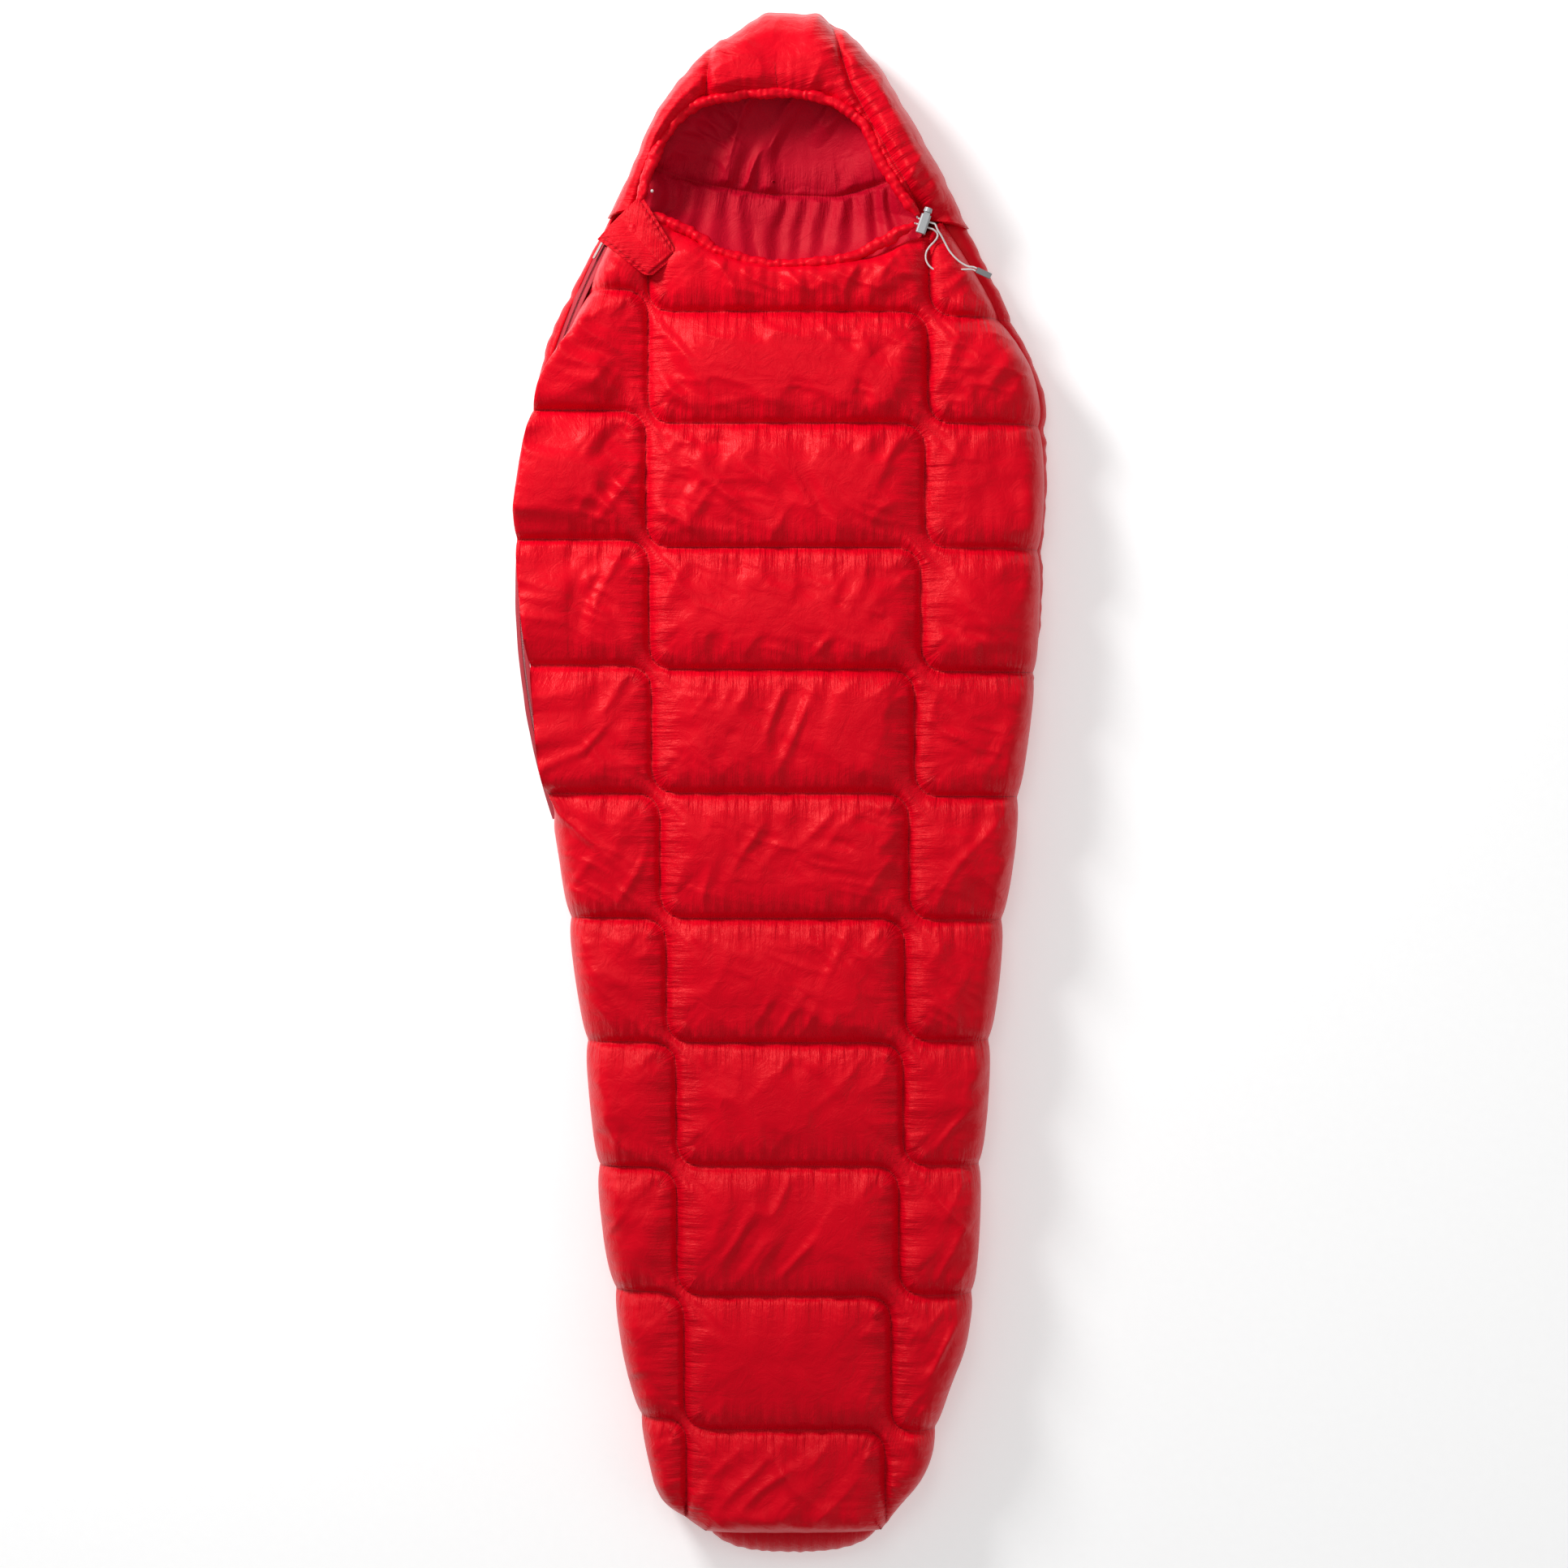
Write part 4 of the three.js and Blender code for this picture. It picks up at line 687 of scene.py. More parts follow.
def taffeta(name, bright, deep, gloss):
    """Calendered polyester taffeta in one dye: crossed 0.35 mm yarns give a faint tooth, a
    thin shiny finish gives broad soft highlights on every fold, and the dye looks deeper
    where the fabric turns away. Beside a seam it puckers finely, and along the seam runs a
    lockstitch of thread in the same colour, 3.2 mm a stitch."""
    made, tree, out = material(name)
    where = put(tree, "TexCoord")
    uv = put(tree, "UVMap", uv_map="UVMap")
    split = put(tree, "SeparateXYZ", [("Vector", uv, "UV")])
    gap = put(tree, "Attribute", attribute_name="seam_distance")
    patchy = put(tree, "TexNoise", [("Vector", where, "Object")], Scale=9, Detail=5, Roughness=0.6)
    tone = put(tree, "MixRGB", [("Fac", patchy, "Fac")], Color1=linear(deep), Color2=linear(bright))
    near = put(tree, "MapRange", [("Value", gap, "Fac")],
        From_Min=0.0, From_Max=0.05, To_Min=1.0, To_Max=0.0)
    stretch = put(tree, "CombineXYZ", [("X", split, "X"), ("Y", split, "Y")])
    scale = put(tree, "Mapping", [("Vector", stretch, "Vector")])
    scale.inputs["Scale"].default_value = (165, 16, 1)
    pucker = put(tree, "TexNoise", [("Vector", scale, "Vector")], Scale=1.0, Detail=4, Roughness=0.65)
    strong = put(tree, "Attribute", attribute_name="pucker")
    amount = put(tree, "Math", [(0, strong, "Fac"), (1, near, "Result")], operation="MULTIPLY")
    lift = put(tree, "Math", [(0, pucker, "Fac"), (1, amount, "Value")], operation="MULTIPLY")
    crease = put(tree, "TexNoise", [("Vector", where, "Object")],
        Scale=38, Detail=6, Roughness=0.62, Distortion=1.4)
    warp = put(tree, "TexWave", [("Vector", where, "Object")], Scale=450, bands_direction="X")
    weft = put(tree, "TexWave", [("Vector", where, "Object")], Scale=450, bands_direction="Y")
    weave = put(tree, "Math", [(0, warp, "Fac"), (1, weft, "Fac")], operation="MULTIPLY")
    rough = put(tree, "Bump", [("Height", crease, "Fac")], Strength=0.5, Distance=0.0035)
    fine = put(tree, "Bump", [("Height", lift, "Value"), ("Normal", rough, "Normal")],
        Strength=0.9, Distance=0.0055)
    cloth = put(tree, "Bump", [("Height", weave, "Value"), ("Normal", fine, "Normal")],
        Strength=0.12, Distance=0.0001)
    close = put(tree, "Math", [(0, gap, "Fac")], operation="LESS_THAN")
    close.inputs[1].default_value = 0.006
    width = put(tree, "Math", [(0, split, "Y")], operation="ABSOLUTE")
    on_line = put(tree, "Math", [(0, width, "Value")], operation="LESS_THAN")
    on_line.inputs[1].default_value = 0.0006
    dash = put(tree, "Math", [(0, split, "X")], operation="PINGPONG")
    dash.inputs[1].default_value = 0.0016
    shown = put(tree, "Math", [(0, dash, "Value")], operation="GREATER_THAN")
    shown.inputs[1].default_value = 0.0004
    both = put(tree, "Math", [(0, close, "Value"), (1, on_line, "Value")], operation="MULTIPLY")
    thread = put(tree, "Math", [(0, both, "Value"), (1, shown, "Value")], operation="MULTIPLY")
    dyed = put(tree, "MixRGB", [("Fac", thread, "Value"), ("Color1", tone, "Color")],
        Color2=linear("#B00A1C"))
    skin = put(tree, "BsdfPrincipled", [("Base Color", dyed, "Color"), ("Normal", cloth, "Normal")],
        Roughness=gloss)
    skin.inputs["Specular IOR Level"].default_value = 0.45
    skin.inputs["Specular Tint"].default_value = linear("#FF7A72")
    tree.links.new(skin.outputs["BSDF"], out.inputs["Surface"])
    return made


shell_finish = taffeta("calendered_polyester_taffeta", "#E6021F", "#CC001A", 0.36)
lining_finish = taffeta("brushed_polyester_lining", "#C20428", "#A2021E", 0.55)


def lined(obj, on_lining):
    """Shell fabric on every face but those that on_lining picks, which are lining."""
    index = np.zeros(len(obj.data.polygons), np.int32)
    index[on_lining] = 1
    obj.data.polygons.foreach_set("material_index", index)
    for finish in (shell_finish, lining_finish):
        obj.data.materials.append(finish)


def folds_back(obj):
    """Bakes a piece's placement into its mesh."""
    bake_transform(obj)


surface = (plan_x.shape[0] - 1) * (plan_x.shape[1] - 1)
lined(front_quilt, slice(surface, 2 * surface))
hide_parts("front_shell", "front_fill", "front_lining",
    "corner_shell", "corner_fill", "corner_lining")
folds_back(front_quilt)


# ---------------------------------------------------------------------------------------
# Back quilt: the same shell and filling underneath. It shows as a puffy roll round the
# whole edge, and as a wider strip outside the gathered seam at the right shoulder.
BACK_INNER = 0.030
BACK_ROLL = 0.017
BACK_LENGTHS = 545
BACK_LOW, BACK_HIGH = -1.084, 1.092
BACK_DRAWN_IN = 0.005
BACK_TUCK = (0.0, 0.006, 0.03)
LINING_COLUMNS = 20
LINING_PUFF = 0.008
back_y = np.linspace(BACK_LOW, BACK_HIGH, BACK_LENGTHS)
back_left, back_right = LEFT_OUTLINE(back_y), RIGHT_OUTLINE(back_y)
beside = smooth((back_y - ZIP_LOW) / ZIP_OPENS_IN) * (1 - smooth((back_y - 0.80) / 0.03))
left_reach = (1 - beside) * 0.016 + beside * np.clip(zip_x(back_y) - 0.009 - back_left, 0.004, 0.03)
right_reach = np.clip(back_right - right_side(back_y), 0.006, 0.05)
right_reach = right_reach * (1 - smooth((back_y - 0.83) / 0.03)) + 0.012
gap_left = np.abs(back_y[:, None] - np.array(LEFT_ROWS)).min(axis=1)
gap_right = np.abs(back_y[:, None] - np.array(RIGHT_ROWS)).min(axis=1)


def side_roll(side, edge, reach, height, row_gap):
    """Cross-sections of one side: a half ellipse from the floor out to the outline and up
    to the side seam, a step inwards, and a tuck down to the lining. It is drawn in beside
    each row, and slightly rucked. Side is -1 at the left and 1 at the right."""
    angles = np.radians(np.linspace(-90, 90, 13))
    drawn = BACK_DRAWN_IN * np.exp(-row_gap / 0.016) - 0.001
    round_x = np.minimum(BACK_ROLL, np.maximum(reach, 0.006))
    x = edge[:, None] - side * (drawn[:, None] + round_x[:, None] * (1 - np.cos(angles)[None, :]))
    z = height[:, None] / 2 * (1 + np.sin(angles)[None, :])
    ruck = cloud(back_y, np.full_like(back_y, side * 3.0), 0.012, 81) * 0.0016
    x = x + side * ruck[:, None] * np.cos(angles)[None, :]
    inner = edge - side * reach
    tuck_x = [inner - side * tuck for tuck in BACK_TUCK]
    tuck_z = [height - 0.001, height - 0.008, np.full_like(height, BACK_INNER)]
    return np.column_stack([x, *tuck_x]), np.column_stack([z, *tuck_z])


left_x, left_z = side_roll(-1, back_left, left_reach, SIDE_SEAM_HEIGHT - 0.006 * beside, gap_left)
right_x, right_z = (a[:, ::-1] for a in side_roll(
    1, back_right, right_reach, np.full_like(back_y, SIDE_SEAM_HEIGHT), gap_right))
share = np.linspace(0, 1, LINING_COLUMNS + 2)[1:-1]
flat_x = left_x[:, -1:] + (right_x[:, :1] - left_x[:, -1:]) * share
sewn_part = (1 - smooth((back_y - 0.62) / 0.07)) * smooth((back_y + 1.02) / 0.05)
back_rows = loft_height(gap_left, 0.050) * sewn_part
flat_z = BACK_INNER + LINING_PUFF * back_rows[:, None] * smooth(5 * share * (1 - share))
base_x = right_x[:, -1:] + (left_x[:, :1] - right_x[:, -1:]) * share
back_x = np.concatenate([left_x, flat_x, right_x, base_x], axis=1)
back_z = np.concatenate([left_z, flat_z, right_z, 0.0 * base_x], axis=1)
ring_size = back_x.shape[1]
lining_low = left_x.shape[1] - 1
lining_high = lining_low + LINING_COLUMNS + 2
nearest_row = np.where(back_x < 0, gap_left[:, None], gap_right[:, None])
nearest_row[:, lining_low:lining_high] = gap_left[:, None]
back_faces = grid_faces(BACK_LENGTHS, ring_size, wrap_columns=True)
back_faces += [list(range(ring_size)), list(range((BACK_LENGTHS - 1) * ring_size, BACK_LENGTHS * ring_size))]
back_points = np.stack([back_x, np.broadcast_to(back_y[:, None], back_x.shape), back_z], axis=2)
back_quilt = piece("back_quilt", back_points, back_faces, np.stack([back_x + back_z, nearest_row], axis=2))
outward(back_quilt)
seam_attributes(back_quilt, nearest_row)
column = np.tile(np.arange(ring_size), BACK_LENGTHS - 1)
lined(back_quilt, np.flatnonzero((column >= lining_low) & (column < lining_high)))
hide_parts("back_shell", "back_fill", "back_lining",
    "right_side_wall", "left_side_wall", "zip_side_wall")
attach(back_quilt, "bag_back")


# ---------------------------------------------------------------------------------------
# Foot end: a narrow filled panel stands between the two quilts, and bulges past the seam
# that closes them.
FOOT_BULGE = 0.042
FOOT_CROWN = 0.018
foot_u = np.linspace(-1, 1, 121)
foot_v = np.linspace(0, np.pi / 2, 15)
foot_left, foot_right = float(left_side(FOOT_SEAM)) + 0.004, float(right_side(FOOT_SEAM)) - 0.004
foot_mid, foot_half = (foot_left + foot_right) / 2, (foot_right - foot_left) / 2
spread_u, spread_v = np.meshgrid(foot_u, foot_v, indexing="ij")
lens_u = (1 - np.abs(spread_u) ** 2.6) ** 0.5
foot_ripple = ripple(spread_u * foot_half + 1, 0.006, 0.012, 91) * np.sin(2 * spread_v)
foot_high = (SIDE_SEAM_HEIGHT + FOOT_CROWN * lens_u) * np.cos(spread_v) ** 0.7 + 0.0015
foot_out = (FOOT_BULGE * lens_u + 0.001) * np.sin(spread_v) + 0.003 * foot_ripple * lens_u
foot_x = foot_mid + spread_u * foot_half
foot_skin = np.stack([foot_x, FOOT_SEAM + 0.004 - foot_out, foot_high], axis=2)
inner_wall = np.stack([foot_x, np.full_like(foot_x, FOOT_SEAM + 0.006), foot_high], axis=2)
foot = closed_shell("foot_end_panel", foot_skin, inner_wall,
    np.stack([foot_x, 0.02 + spread_v * 0.03], axis=2))
seam_attributes(foot, np.stack([0.004 + 0.02 * spread_v] * 2))
foot.data.materials.append(shell_finish)
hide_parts("foot_panel")
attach(foot, "bag_back")


# ---------------------------------------------------------------------------------------
# Hood: three filled panels that rise from the edge, lean over the head and end at the
# gathered rim of the face opening. Inside it is lined in crimson.
RIM = np.array([
    (-0.200, 0.822), (-0.196, 0.832), (-0.187, 0.864), (-0.165, 0.914), (-0.122, 0.957), (-0.062, 0.970),
    (0, 0.972), (0.062, 0.962), (0.108, 0.928), (0.134, 0.878), (0.160, 0.838), (0.184, 0.806),
])
HOOD_SECTION = np.array([
    (0, 0.030), (0.03, 0.060), (0.12, 0.086), (0.30, 0.108), (0.58, 0.118), (0.80, 0.112), (0.90, 0.102),
    (0.97, 0.092),
])
HOOD_SEAMS = (
    [(-0.082, 1.092), (-0.093, 1.071), (-0.106, 1.038), (-0.109, 1.001), (-0.111, 0.968)],
    [(0.066, 1.092), (0.080, 1.035), (0.096, 0.985), (0.124, 0.935), (0.160, 0.872), (0.205, 0.800)],
)
HOOD_AROUND = 420
HOOD_ACROSS = 60
HOOD_LEFT_Y, HOOD_RIGHT_Y = 0.810, 0.795
HOOD_PEAK_Y = 1.103
HOOD_PROUD = 0.002
HOOD_LOFT = 0.016
HOOD_END_SHARE = 0.64


def evenly_picked(line, count):
    """That many points of a finely divided line, evenly spread over its list of points."""
    return line[np.linspace(0, len(line) - 1, count).astype(int)]


def averaged(values, weights):
    """Each value averaged with its neighbours, with the end values repeated past the ends."""
    side = len(weights) // 2
    return np.convolve(np.pad(values, side, mode="edge"), weights / np.sum(weights), "valid")


# The hood is a grid: its rows go round from the left end to the right, and its columns go
# up from the outline and over to the rim.
hood_rise = np.sin(np.linspace(0, np.pi / 2, 200))
hood_left_y = HOOD_LEFT_Y + (HOOD_PEAK_Y - HOOD_LEFT_Y) * hood_rise
hood_right_y = HOOD_RIGHT_Y + (HOOD_PEAK_Y - HOOD_RIGHT_Y) * hood_rise
hood_outline = np.concatenate([
    np.stack([LEFT_OUTLINE(hood_left_y) - HOOD_PROUD, hood_left_y], axis=1),
    np.stack([RIGHT_OUTLINE(hood_right_y) + HOOD_PROUD, hood_right_y], axis=1)[::-1],
])
hood_outline = evenly_picked(resampled(hood_outline, 0.0001), HOOD_AROUND)
hood_outline = np.stack([averaged(hood_outline[:, k], np.hanning(15)) for k in (0, 1)], axis=1)
rim_line = smooth_line(np.column_stack([RIM, np.zeros(len(RIM))]), 0.0005)[:, :2]
rim_line = evenly_picked(rim_line, HOOD_AROUND)
hood_s = np.linspace(0, HOOD_SECTION[-1, 0], HOOD_ACROSS)
to_rim = (rim_line - hood_outline)[:, None]
hood_xy = hood_outline[:, None] + to_rim * hood_s[None, :, None]
flat = hood_xy.reshape(-1, 2)
hood_seams = [resampled(np.array(line), 0.003) for line in HOOD_SEAMS]
hood_gap, hood_run, hood_side = (a.reshape(hood_xy.shape[:2]) for a in seam_field(flat, hood_seams))
rim_gap, rim_run, _ = (a.reshape(hood_xy.shape[:2]) for a in seam_field(flat, [rim_line]))

# Its height follows one section, lower at the two ends, with the loft between the seams,
# puckers along the seams and the rim, slack folds, and a slow unevenness.
turn = np.linspace(0, 1, HOOD_AROUND)[:, None]
ends = smooth((turn - 0.01) / 0.20) * smooth((1 - turn) / 0.10)
hood_z = averaged(np.interp(hood_s, *HOOD_SECTION.T), np.ones(7))
hood_top = hood_z[None, :] * (HOOD_END_SHARE + (1 - HOOD_END_SHARE) * ends)
hood_top = hood_top + HOOD_LOFT * loft_height(hood_gap, 0.055) * loft_height(rim_gap + 0.004, 0.05) - 0.009
hood_top = hood_top + gathers(hood_gap, hood_run, hood_side, 101) * 0.9 * smooth(rim_gap / 0.02)
hood_top = hood_top + gathers(rim_gap, rim_run, np.ones_like(rim_run), 111) * 1.1
hood_folds = 0.0045 * folds(hood_xy[..., 0], hood_xy[..., 1], 121)
hood_top = hood_top + hood_folds * smooth(hood_gap / 0.02) * smooth(hood_s / 0.15)
hood_top = hood_top + 0.007 * cloud(hood_xy[..., 0], hood_xy[..., 1], 0.075, 131) * smooth(hood_s / 0.15)
edge_ruck = cloud(turn * 1.4, 0 * turn, 0.028, 141) * 0.021
hood_xy = hood_xy - to_rim * (edge_ruck * (1 - hood_s[None, :]))[..., None]
hood_top = np.minimum(hood_top, CELL_TOP + 0.2 * (hood_top - CELL_TOP))
drop = (0.010 + 0.014 * smooth((1 - hood_s / HOOD_SECTION[-1, 0]) / 0.3))[None, :]
inner_z = np.maximum(hood_top - drop, 0.026)
inner_xy = hood_xy + to_rim * (0.10 * (1 - hood_s))[None, :, None]
hood = closed_shell("hood", np.concatenate([hood_xy, hood_top[..., None]], axis=2),
    np.concatenate([inner_xy, inner_z[..., None]], axis=2),
    np.stack([hood_run, hood_side * hood_gap], axis=2))
seam_attributes(hood, np.stack([np.minimum(hood_gap, rim_gap), np.full(hood_gap.shape, 0.1)]))
surface = (HOOD_AROUND - 1) * (HOOD_ACROSS - 1)
lined(hood, slice(surface, 2 * surface))
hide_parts("hood_left_panel", "hood_centre_panel", "hood_right_panel", "hood_fill", "hood_lining")
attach(hood, "bag_back")


# ---------------------------------------------------------------------------------------
# Drawcord tunnels: a narrow sleeve of shell fabric sewn round the face opening and pulled
# up on its cord, so that it ruffles. The lower sleeve ends at the cord lock.
TUNNEL_RADIUS = 0.0080
TUNNEL_STEP = 0.0022
TUNNEL_END = 0.02
RIM_HEIGHT = 0.106
RIM_OUT = 0.0065
MOUTH_X, MOUTH_Y = -0.0125, 0.0065
COLLAR_HEIGHTS = np.array([
    (-0.24, 0.096), (-0.19, 0.101), (-0.10, 0.102), (0.0, 0.103), (0.10, 0.102), (0.18, 0.101),
    (0.22, 0.098),
])


def ruffled(name, line, radius, seed):
    """A gathered sleeve along a line. Its radius swells and pinches every 7 to 15 mm, more
    on one side than on the other, and its line wanders by a millimetre."""
    line = resampled(line, TUNNEL_STEP)
    run = np.arange(len(line)) * TUNNEL_STEP
    wander = np.stack([cloud(run, 0 * run + k, 0.016, seed + k) for k in range(3)], axis=1)
    line = line + wander * 0.0014
    sides = 20
    angle = np.linspace(0, 2 * np.pi, sides, endpoint=False)[None, :]
    wave = ripple(run, 0.0035, 0.0075, seed + 5)[:, None] - 0.35
    twist = cloud(run[:, None] + 0.010 * np.sin(angle), np.cos(angle) * 0.02 + seed, 0.010, seed + 6)
    shape = radius * (1 + 0.20 * wave + 0.20 * twist)
    ends = smooth(run / TUNNEL_END) * smooth((run[-1] - run) / TUNNEL_END)
    made = tube(name, line, shape * (0.55 + 0.45 * ends[:, None]), sides)
    seam_attributes(made, np.full(len(made.data.vertices), 0.05))
    made.data.materials.append(shell_finish)
    return made


def outward_of_face(line, by):
    """Moves each plan point of the rim straight away from the middle of the face."""
    away = line[:, :2] - np.array([0.0, 0.870])
    away /= np.linalg.norm(away, axis=1, keepdims=True)
    moved = line.copy()
    moved[:, :2] += away * by
    return moved


rim_high = outward_of_face(np.column_stack([rim_line, np.full(len(rim_line), RIM_HEIGHT)]), RIM_OUT)
rim_high = np.vstack([rim_high[:-24], turned(LOCK_PLACE, LOCK_TURN, MOUTH_X, MOUTH_Y)])
hood_tunnel = ruffled("hood_drawcord_tunnel", rim_high, TUNNEL_RADIUS, 151)
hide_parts("hood_tunnel")
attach(hood_tunnel, "bag_back")

collar_z = np.interp(COLLAR[:, 0], *COLLAR_HEIGHTS.T)
collar_mouth = turned(LOCK_PLACE, LOCK_TURN, MOUTH_X, -MOUTH_Y)
collar_line = smooth_line(np.vstack([np.column_stack([COLLAR[1:-2], collar_z[1:-2]]), collar_mouth]), 0.002)
collar_tunnel = ruffled("collar_drawcord_tunnel", collar_line, TUNNEL_RADIUS, 171)
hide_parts("collar_tunnel")
folds_back(collar_tunnel)


# ---------------------------------------------------------------------------------------
# Neck and head lining, with the draft collar under it: crimson lining fabric, smooth with
# slack folds under the head, and gathered into long pleats below the seam across it.
FACE_MIDDLE = np.array([-0.015, 0.862])
CROSS_SEAM = np.array([
    (-0.24, 0.890), (-0.180, 0.877), (-0.106, 0.858), (-0.025, 0.846), (0.077, 0.842), (0.143, 0.858),
    (0.22, 0.880),
])
LOOP_POINTS = 480
BOWL_RINGS = 95
BOWL_LOW, BOWL_UNDER = 0.034, 0.0315
UNDER_TUNNEL = 0.017
FAR_FROM_SEAM = 0.1

# The lining is a bowl: rings from the middle of the face out to a loop under the tunnels.
loop = np.concatenate([rim_line, COLLAR[-2:0:-1]])
loop = np.concatenate([loop, loop[:1]])
loop = evenly_picked(resampled(loop, 0.0005), LOOP_POINTS + 1)[:-1]
away = loop - FACE_MIDDLE
beside_pull = smooth((-0.13 - loop[:, :1]) / 0.04) * smooth((0.87 - loop[:, 1:]) / 0.03)
loop = loop + away / np.linalg.norm(away, axis=1, keepdims=True) * (UNDER_TUNNEL - 0.013 * beside_pull)
rho = np.linspace(0, 1, BOWL_RINGS + 1)[1:]
bowl = FACE_MIDDLE + (loop - FACE_MIDDLE)[:, None] * rho[None, :, None]
bowl_x, bowl_y = bowl[..., 0], bowl[..., 1]
cross_field = seam_field(bowl.reshape(-1, 2), [resampled(CROSS_SEAM, 0.003)])
cross_gap, cross_run, cross_side = (a.reshape(bowl_x.shape) for a in cross_field)

# Below the seam it has pleats that run away from the seam, and above it slack folds.
below = smooth(-(bowl_y - np.interp(bowl_x, *CROSS_SEAM.T)) / 0.012)
pleat = ripple(bowl_x + 0.5 + 0.02 * cloud(bowl_x, bowl_y, 0.06, 181), 0.010, 0.021, 183)
pleat = pleat * (0.25 + 0.75 * np.exp(-cross_gap / 0.08)) * smooth(cross_gap / 0.008)
slack = 0.008 * folds(bowl_x * 1.2, bowl_y, 187)
slack = slack + 0.004 * ripple(cross_run, 0.008, 0.018, 191) * np.exp(-cross_gap / 0.03)
bowl_z = 0.040 + 0.040 * rho[None, :] ** 5 + 0.012 * loft_height(cross_gap, 0.04)
bowl_z = bowl_z + below * 0.012 * pleat + (1 - below) * slack * smooth(cross_gap / 0.01)
bowl_z = bowl_z + 0.006 * cloud(bowl_x, bowl_y, 0.07, 193)
fold_rim = np.clip((rho - 0.93) / 0.07, 0, 1)[None, :]
bowl_z = np.maximum(bowl_z - 0.006 * fold_rim, BOWL_LOW)
under_z = BOWL_UNDER + 0.5 * (bowl_z - BOWL_LOW) * rho[None, :] ** 4

# Each side closes on a point of its own at the middle, and a wall joins the two rims.
lining_count = bowl_x.size
lining_points = np.vstack([
    np.dstack([bowl_x, bowl_y, bowl_z]).reshape(-1, 3), np.dstack([bowl_x, bowl_y, under_z]).reshape(-1, 3),
    [[*FACE_MIDDLE, 0.046]], [[*FACE_MIDDLE, BOWL_UNDER]],
])
first = np.arange(LOOP_POINTS) * BOWL_RINGS
after = np.roll(first, -1)
last, last_after = first + BOWL_RINGS - 1, after + BOWL_RINGS - 1
top_middle, under_middle = np.full(LOOP_POINTS, 2 * lining_count), np.full(LOOP_POINTS, 2 * lining_count + 1)
lining_faces = grid_faces(LOOP_POINTS, BOWL_RINGS, wrap_rows=True)
lining_faces += turned_over(grid_faces(LOOP_POINTS, BOWL_RINGS, wrap_rows=True, start=lining_count))
lining_faces += np.stack([top_middle, after, first], axis=1).tolist()
lining_faces += np.stack([first + lining_count, after + lining_count, under_middle], axis=1).tolist()
lining_faces += np.stack([last + lining_count, last_after + lining_count, last_after, last], axis=1).tolist()
lining_uv = np.dstack([cross_run, cross_side * cross_gap]).reshape(-1, 2)
lining_uv = np.vstack([lining_uv, lining_uv, [[0, FAR_FROM_SEAM]], [[0, FAR_FROM_SEAM]]])
head_lining = piece("head_and_neck_lining", lining_points, lining_faces, lining_uv)
outward(head_lining)
seam_attributes(head_lining, np.concatenate([cross_gap.ravel(), np.full(lining_count + 2, FAR_FROM_SEAM)]))
head_lining.data.materials.append(lining_finish)
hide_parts("draft_collar")
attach(head_lining, "bag_back")


# ---------------------------------------------------------------------------------------
# Side zip: two woven tapes that carry a spiral coil each. The coil is one nylon thread
# wound in a spiral with 1.7 mm between turns, and the tapes are twill.
ZIP_LEAN = math.radians(60)
ZIP_HEIGHT = 0.054
COIL_PITCH = 0.0017
ZIP_TOP_ANGLE = 0.5137
SLIDER_ANGLE = 0.4965
FRONT_LOW_ANGLE = -0.2666
TAPE_END = 0.055
SLIDER_HALF = 0.0115
TAPE_STEPS = 420
TAPE_EDGES = np.array([0.0030, 0.0060, 0.0100, 0.0165])
TAPE_HALF_THICK = 0.0004
DRAFT_INSIDE = 0.022
DRAFT_HEIGHT = 0.0445
DRAFT_RADIUS = 0.0105


def on_zip(angle, across, through):
    """A point of the zip: angle round its circle, across the tape towards the quilt, and
    through it, out of the bag."""
    radius = ZIP_RADIUS - (across * math.cos(ZIP_LEAN) - through * math.sin(ZIP_LEAN))
    height = ZIP_HEIGHT + across * math.sin(ZIP_LEAN) + through * math.cos(ZIP_LEAN)
    x, y = ZIP_CENTRE[0] - radius * np.cos(angle), ZIP_CENTRE[1] + radius * np.sin(angle)
    return np.stack(np.broadcast_arrays(x, y, height), axis=-1)


def zip_tape_fabric():
    """Twill tape, dyed to match the lining: fine slanting ribs 1 mm apart, and no shine."""
    made, tree, out = material("woven_twill_tape")
    uv = put(tree, "UVMap", uv_map="UVMap")
    ribs = put(tree, "TexWave", [("Vector", uv, "UV")], Scale=160, bands_direction="DIAGONAL", Distortion=0.3)
    tone = put(tree, "MixRGB", [("Fac", ribs, "Fac")], Color1=linear("#8E0A1C"), Color2=linear("#B5122A"))
    bump = put(tree, "Bump", [("Height", ribs, "Fac")], Strength=0.6, Distance=0.0003)
    look = [("Base Color", tone, "Color"), ("Normal", bump, "Normal")]
    weave = put(tree, "BsdfPrincipled", look, Roughness=0.75)
    tree.links.new(weave.outputs["BSDF"], out.inputs["Surface"])
    return made


def nylon_coil():
    """Drawn nylon thread, dyed dark red: smooth and a little translucent, so each turn of
    the spiral carries a small bright highlight."""
    made, tree, out = material("drawn_nylon_coil")
    where = put(tree, "TexCoord")
    dye = put(tree, "TexNoise", [("Vector", where, "Object")], Scale=400, Detail=2)
    tone = put(tree, "MixRGB", [("Fac", dye, "Fac")], Color1=linear("#7D0A18"), Color2=linear("#A31226"))
    thread = put(tree, "BsdfPrincipled", [("Base Color", tone, "Color")], Roughness=0.3)
    thread.inputs["Subsurface Weight"].default_value = 0.1
    thread.inputs["Subsurface Scale"].default_value = 0.001
    tree.links.new(thread.outputs["BSDF"], out.inputs["Surface"])
    return made


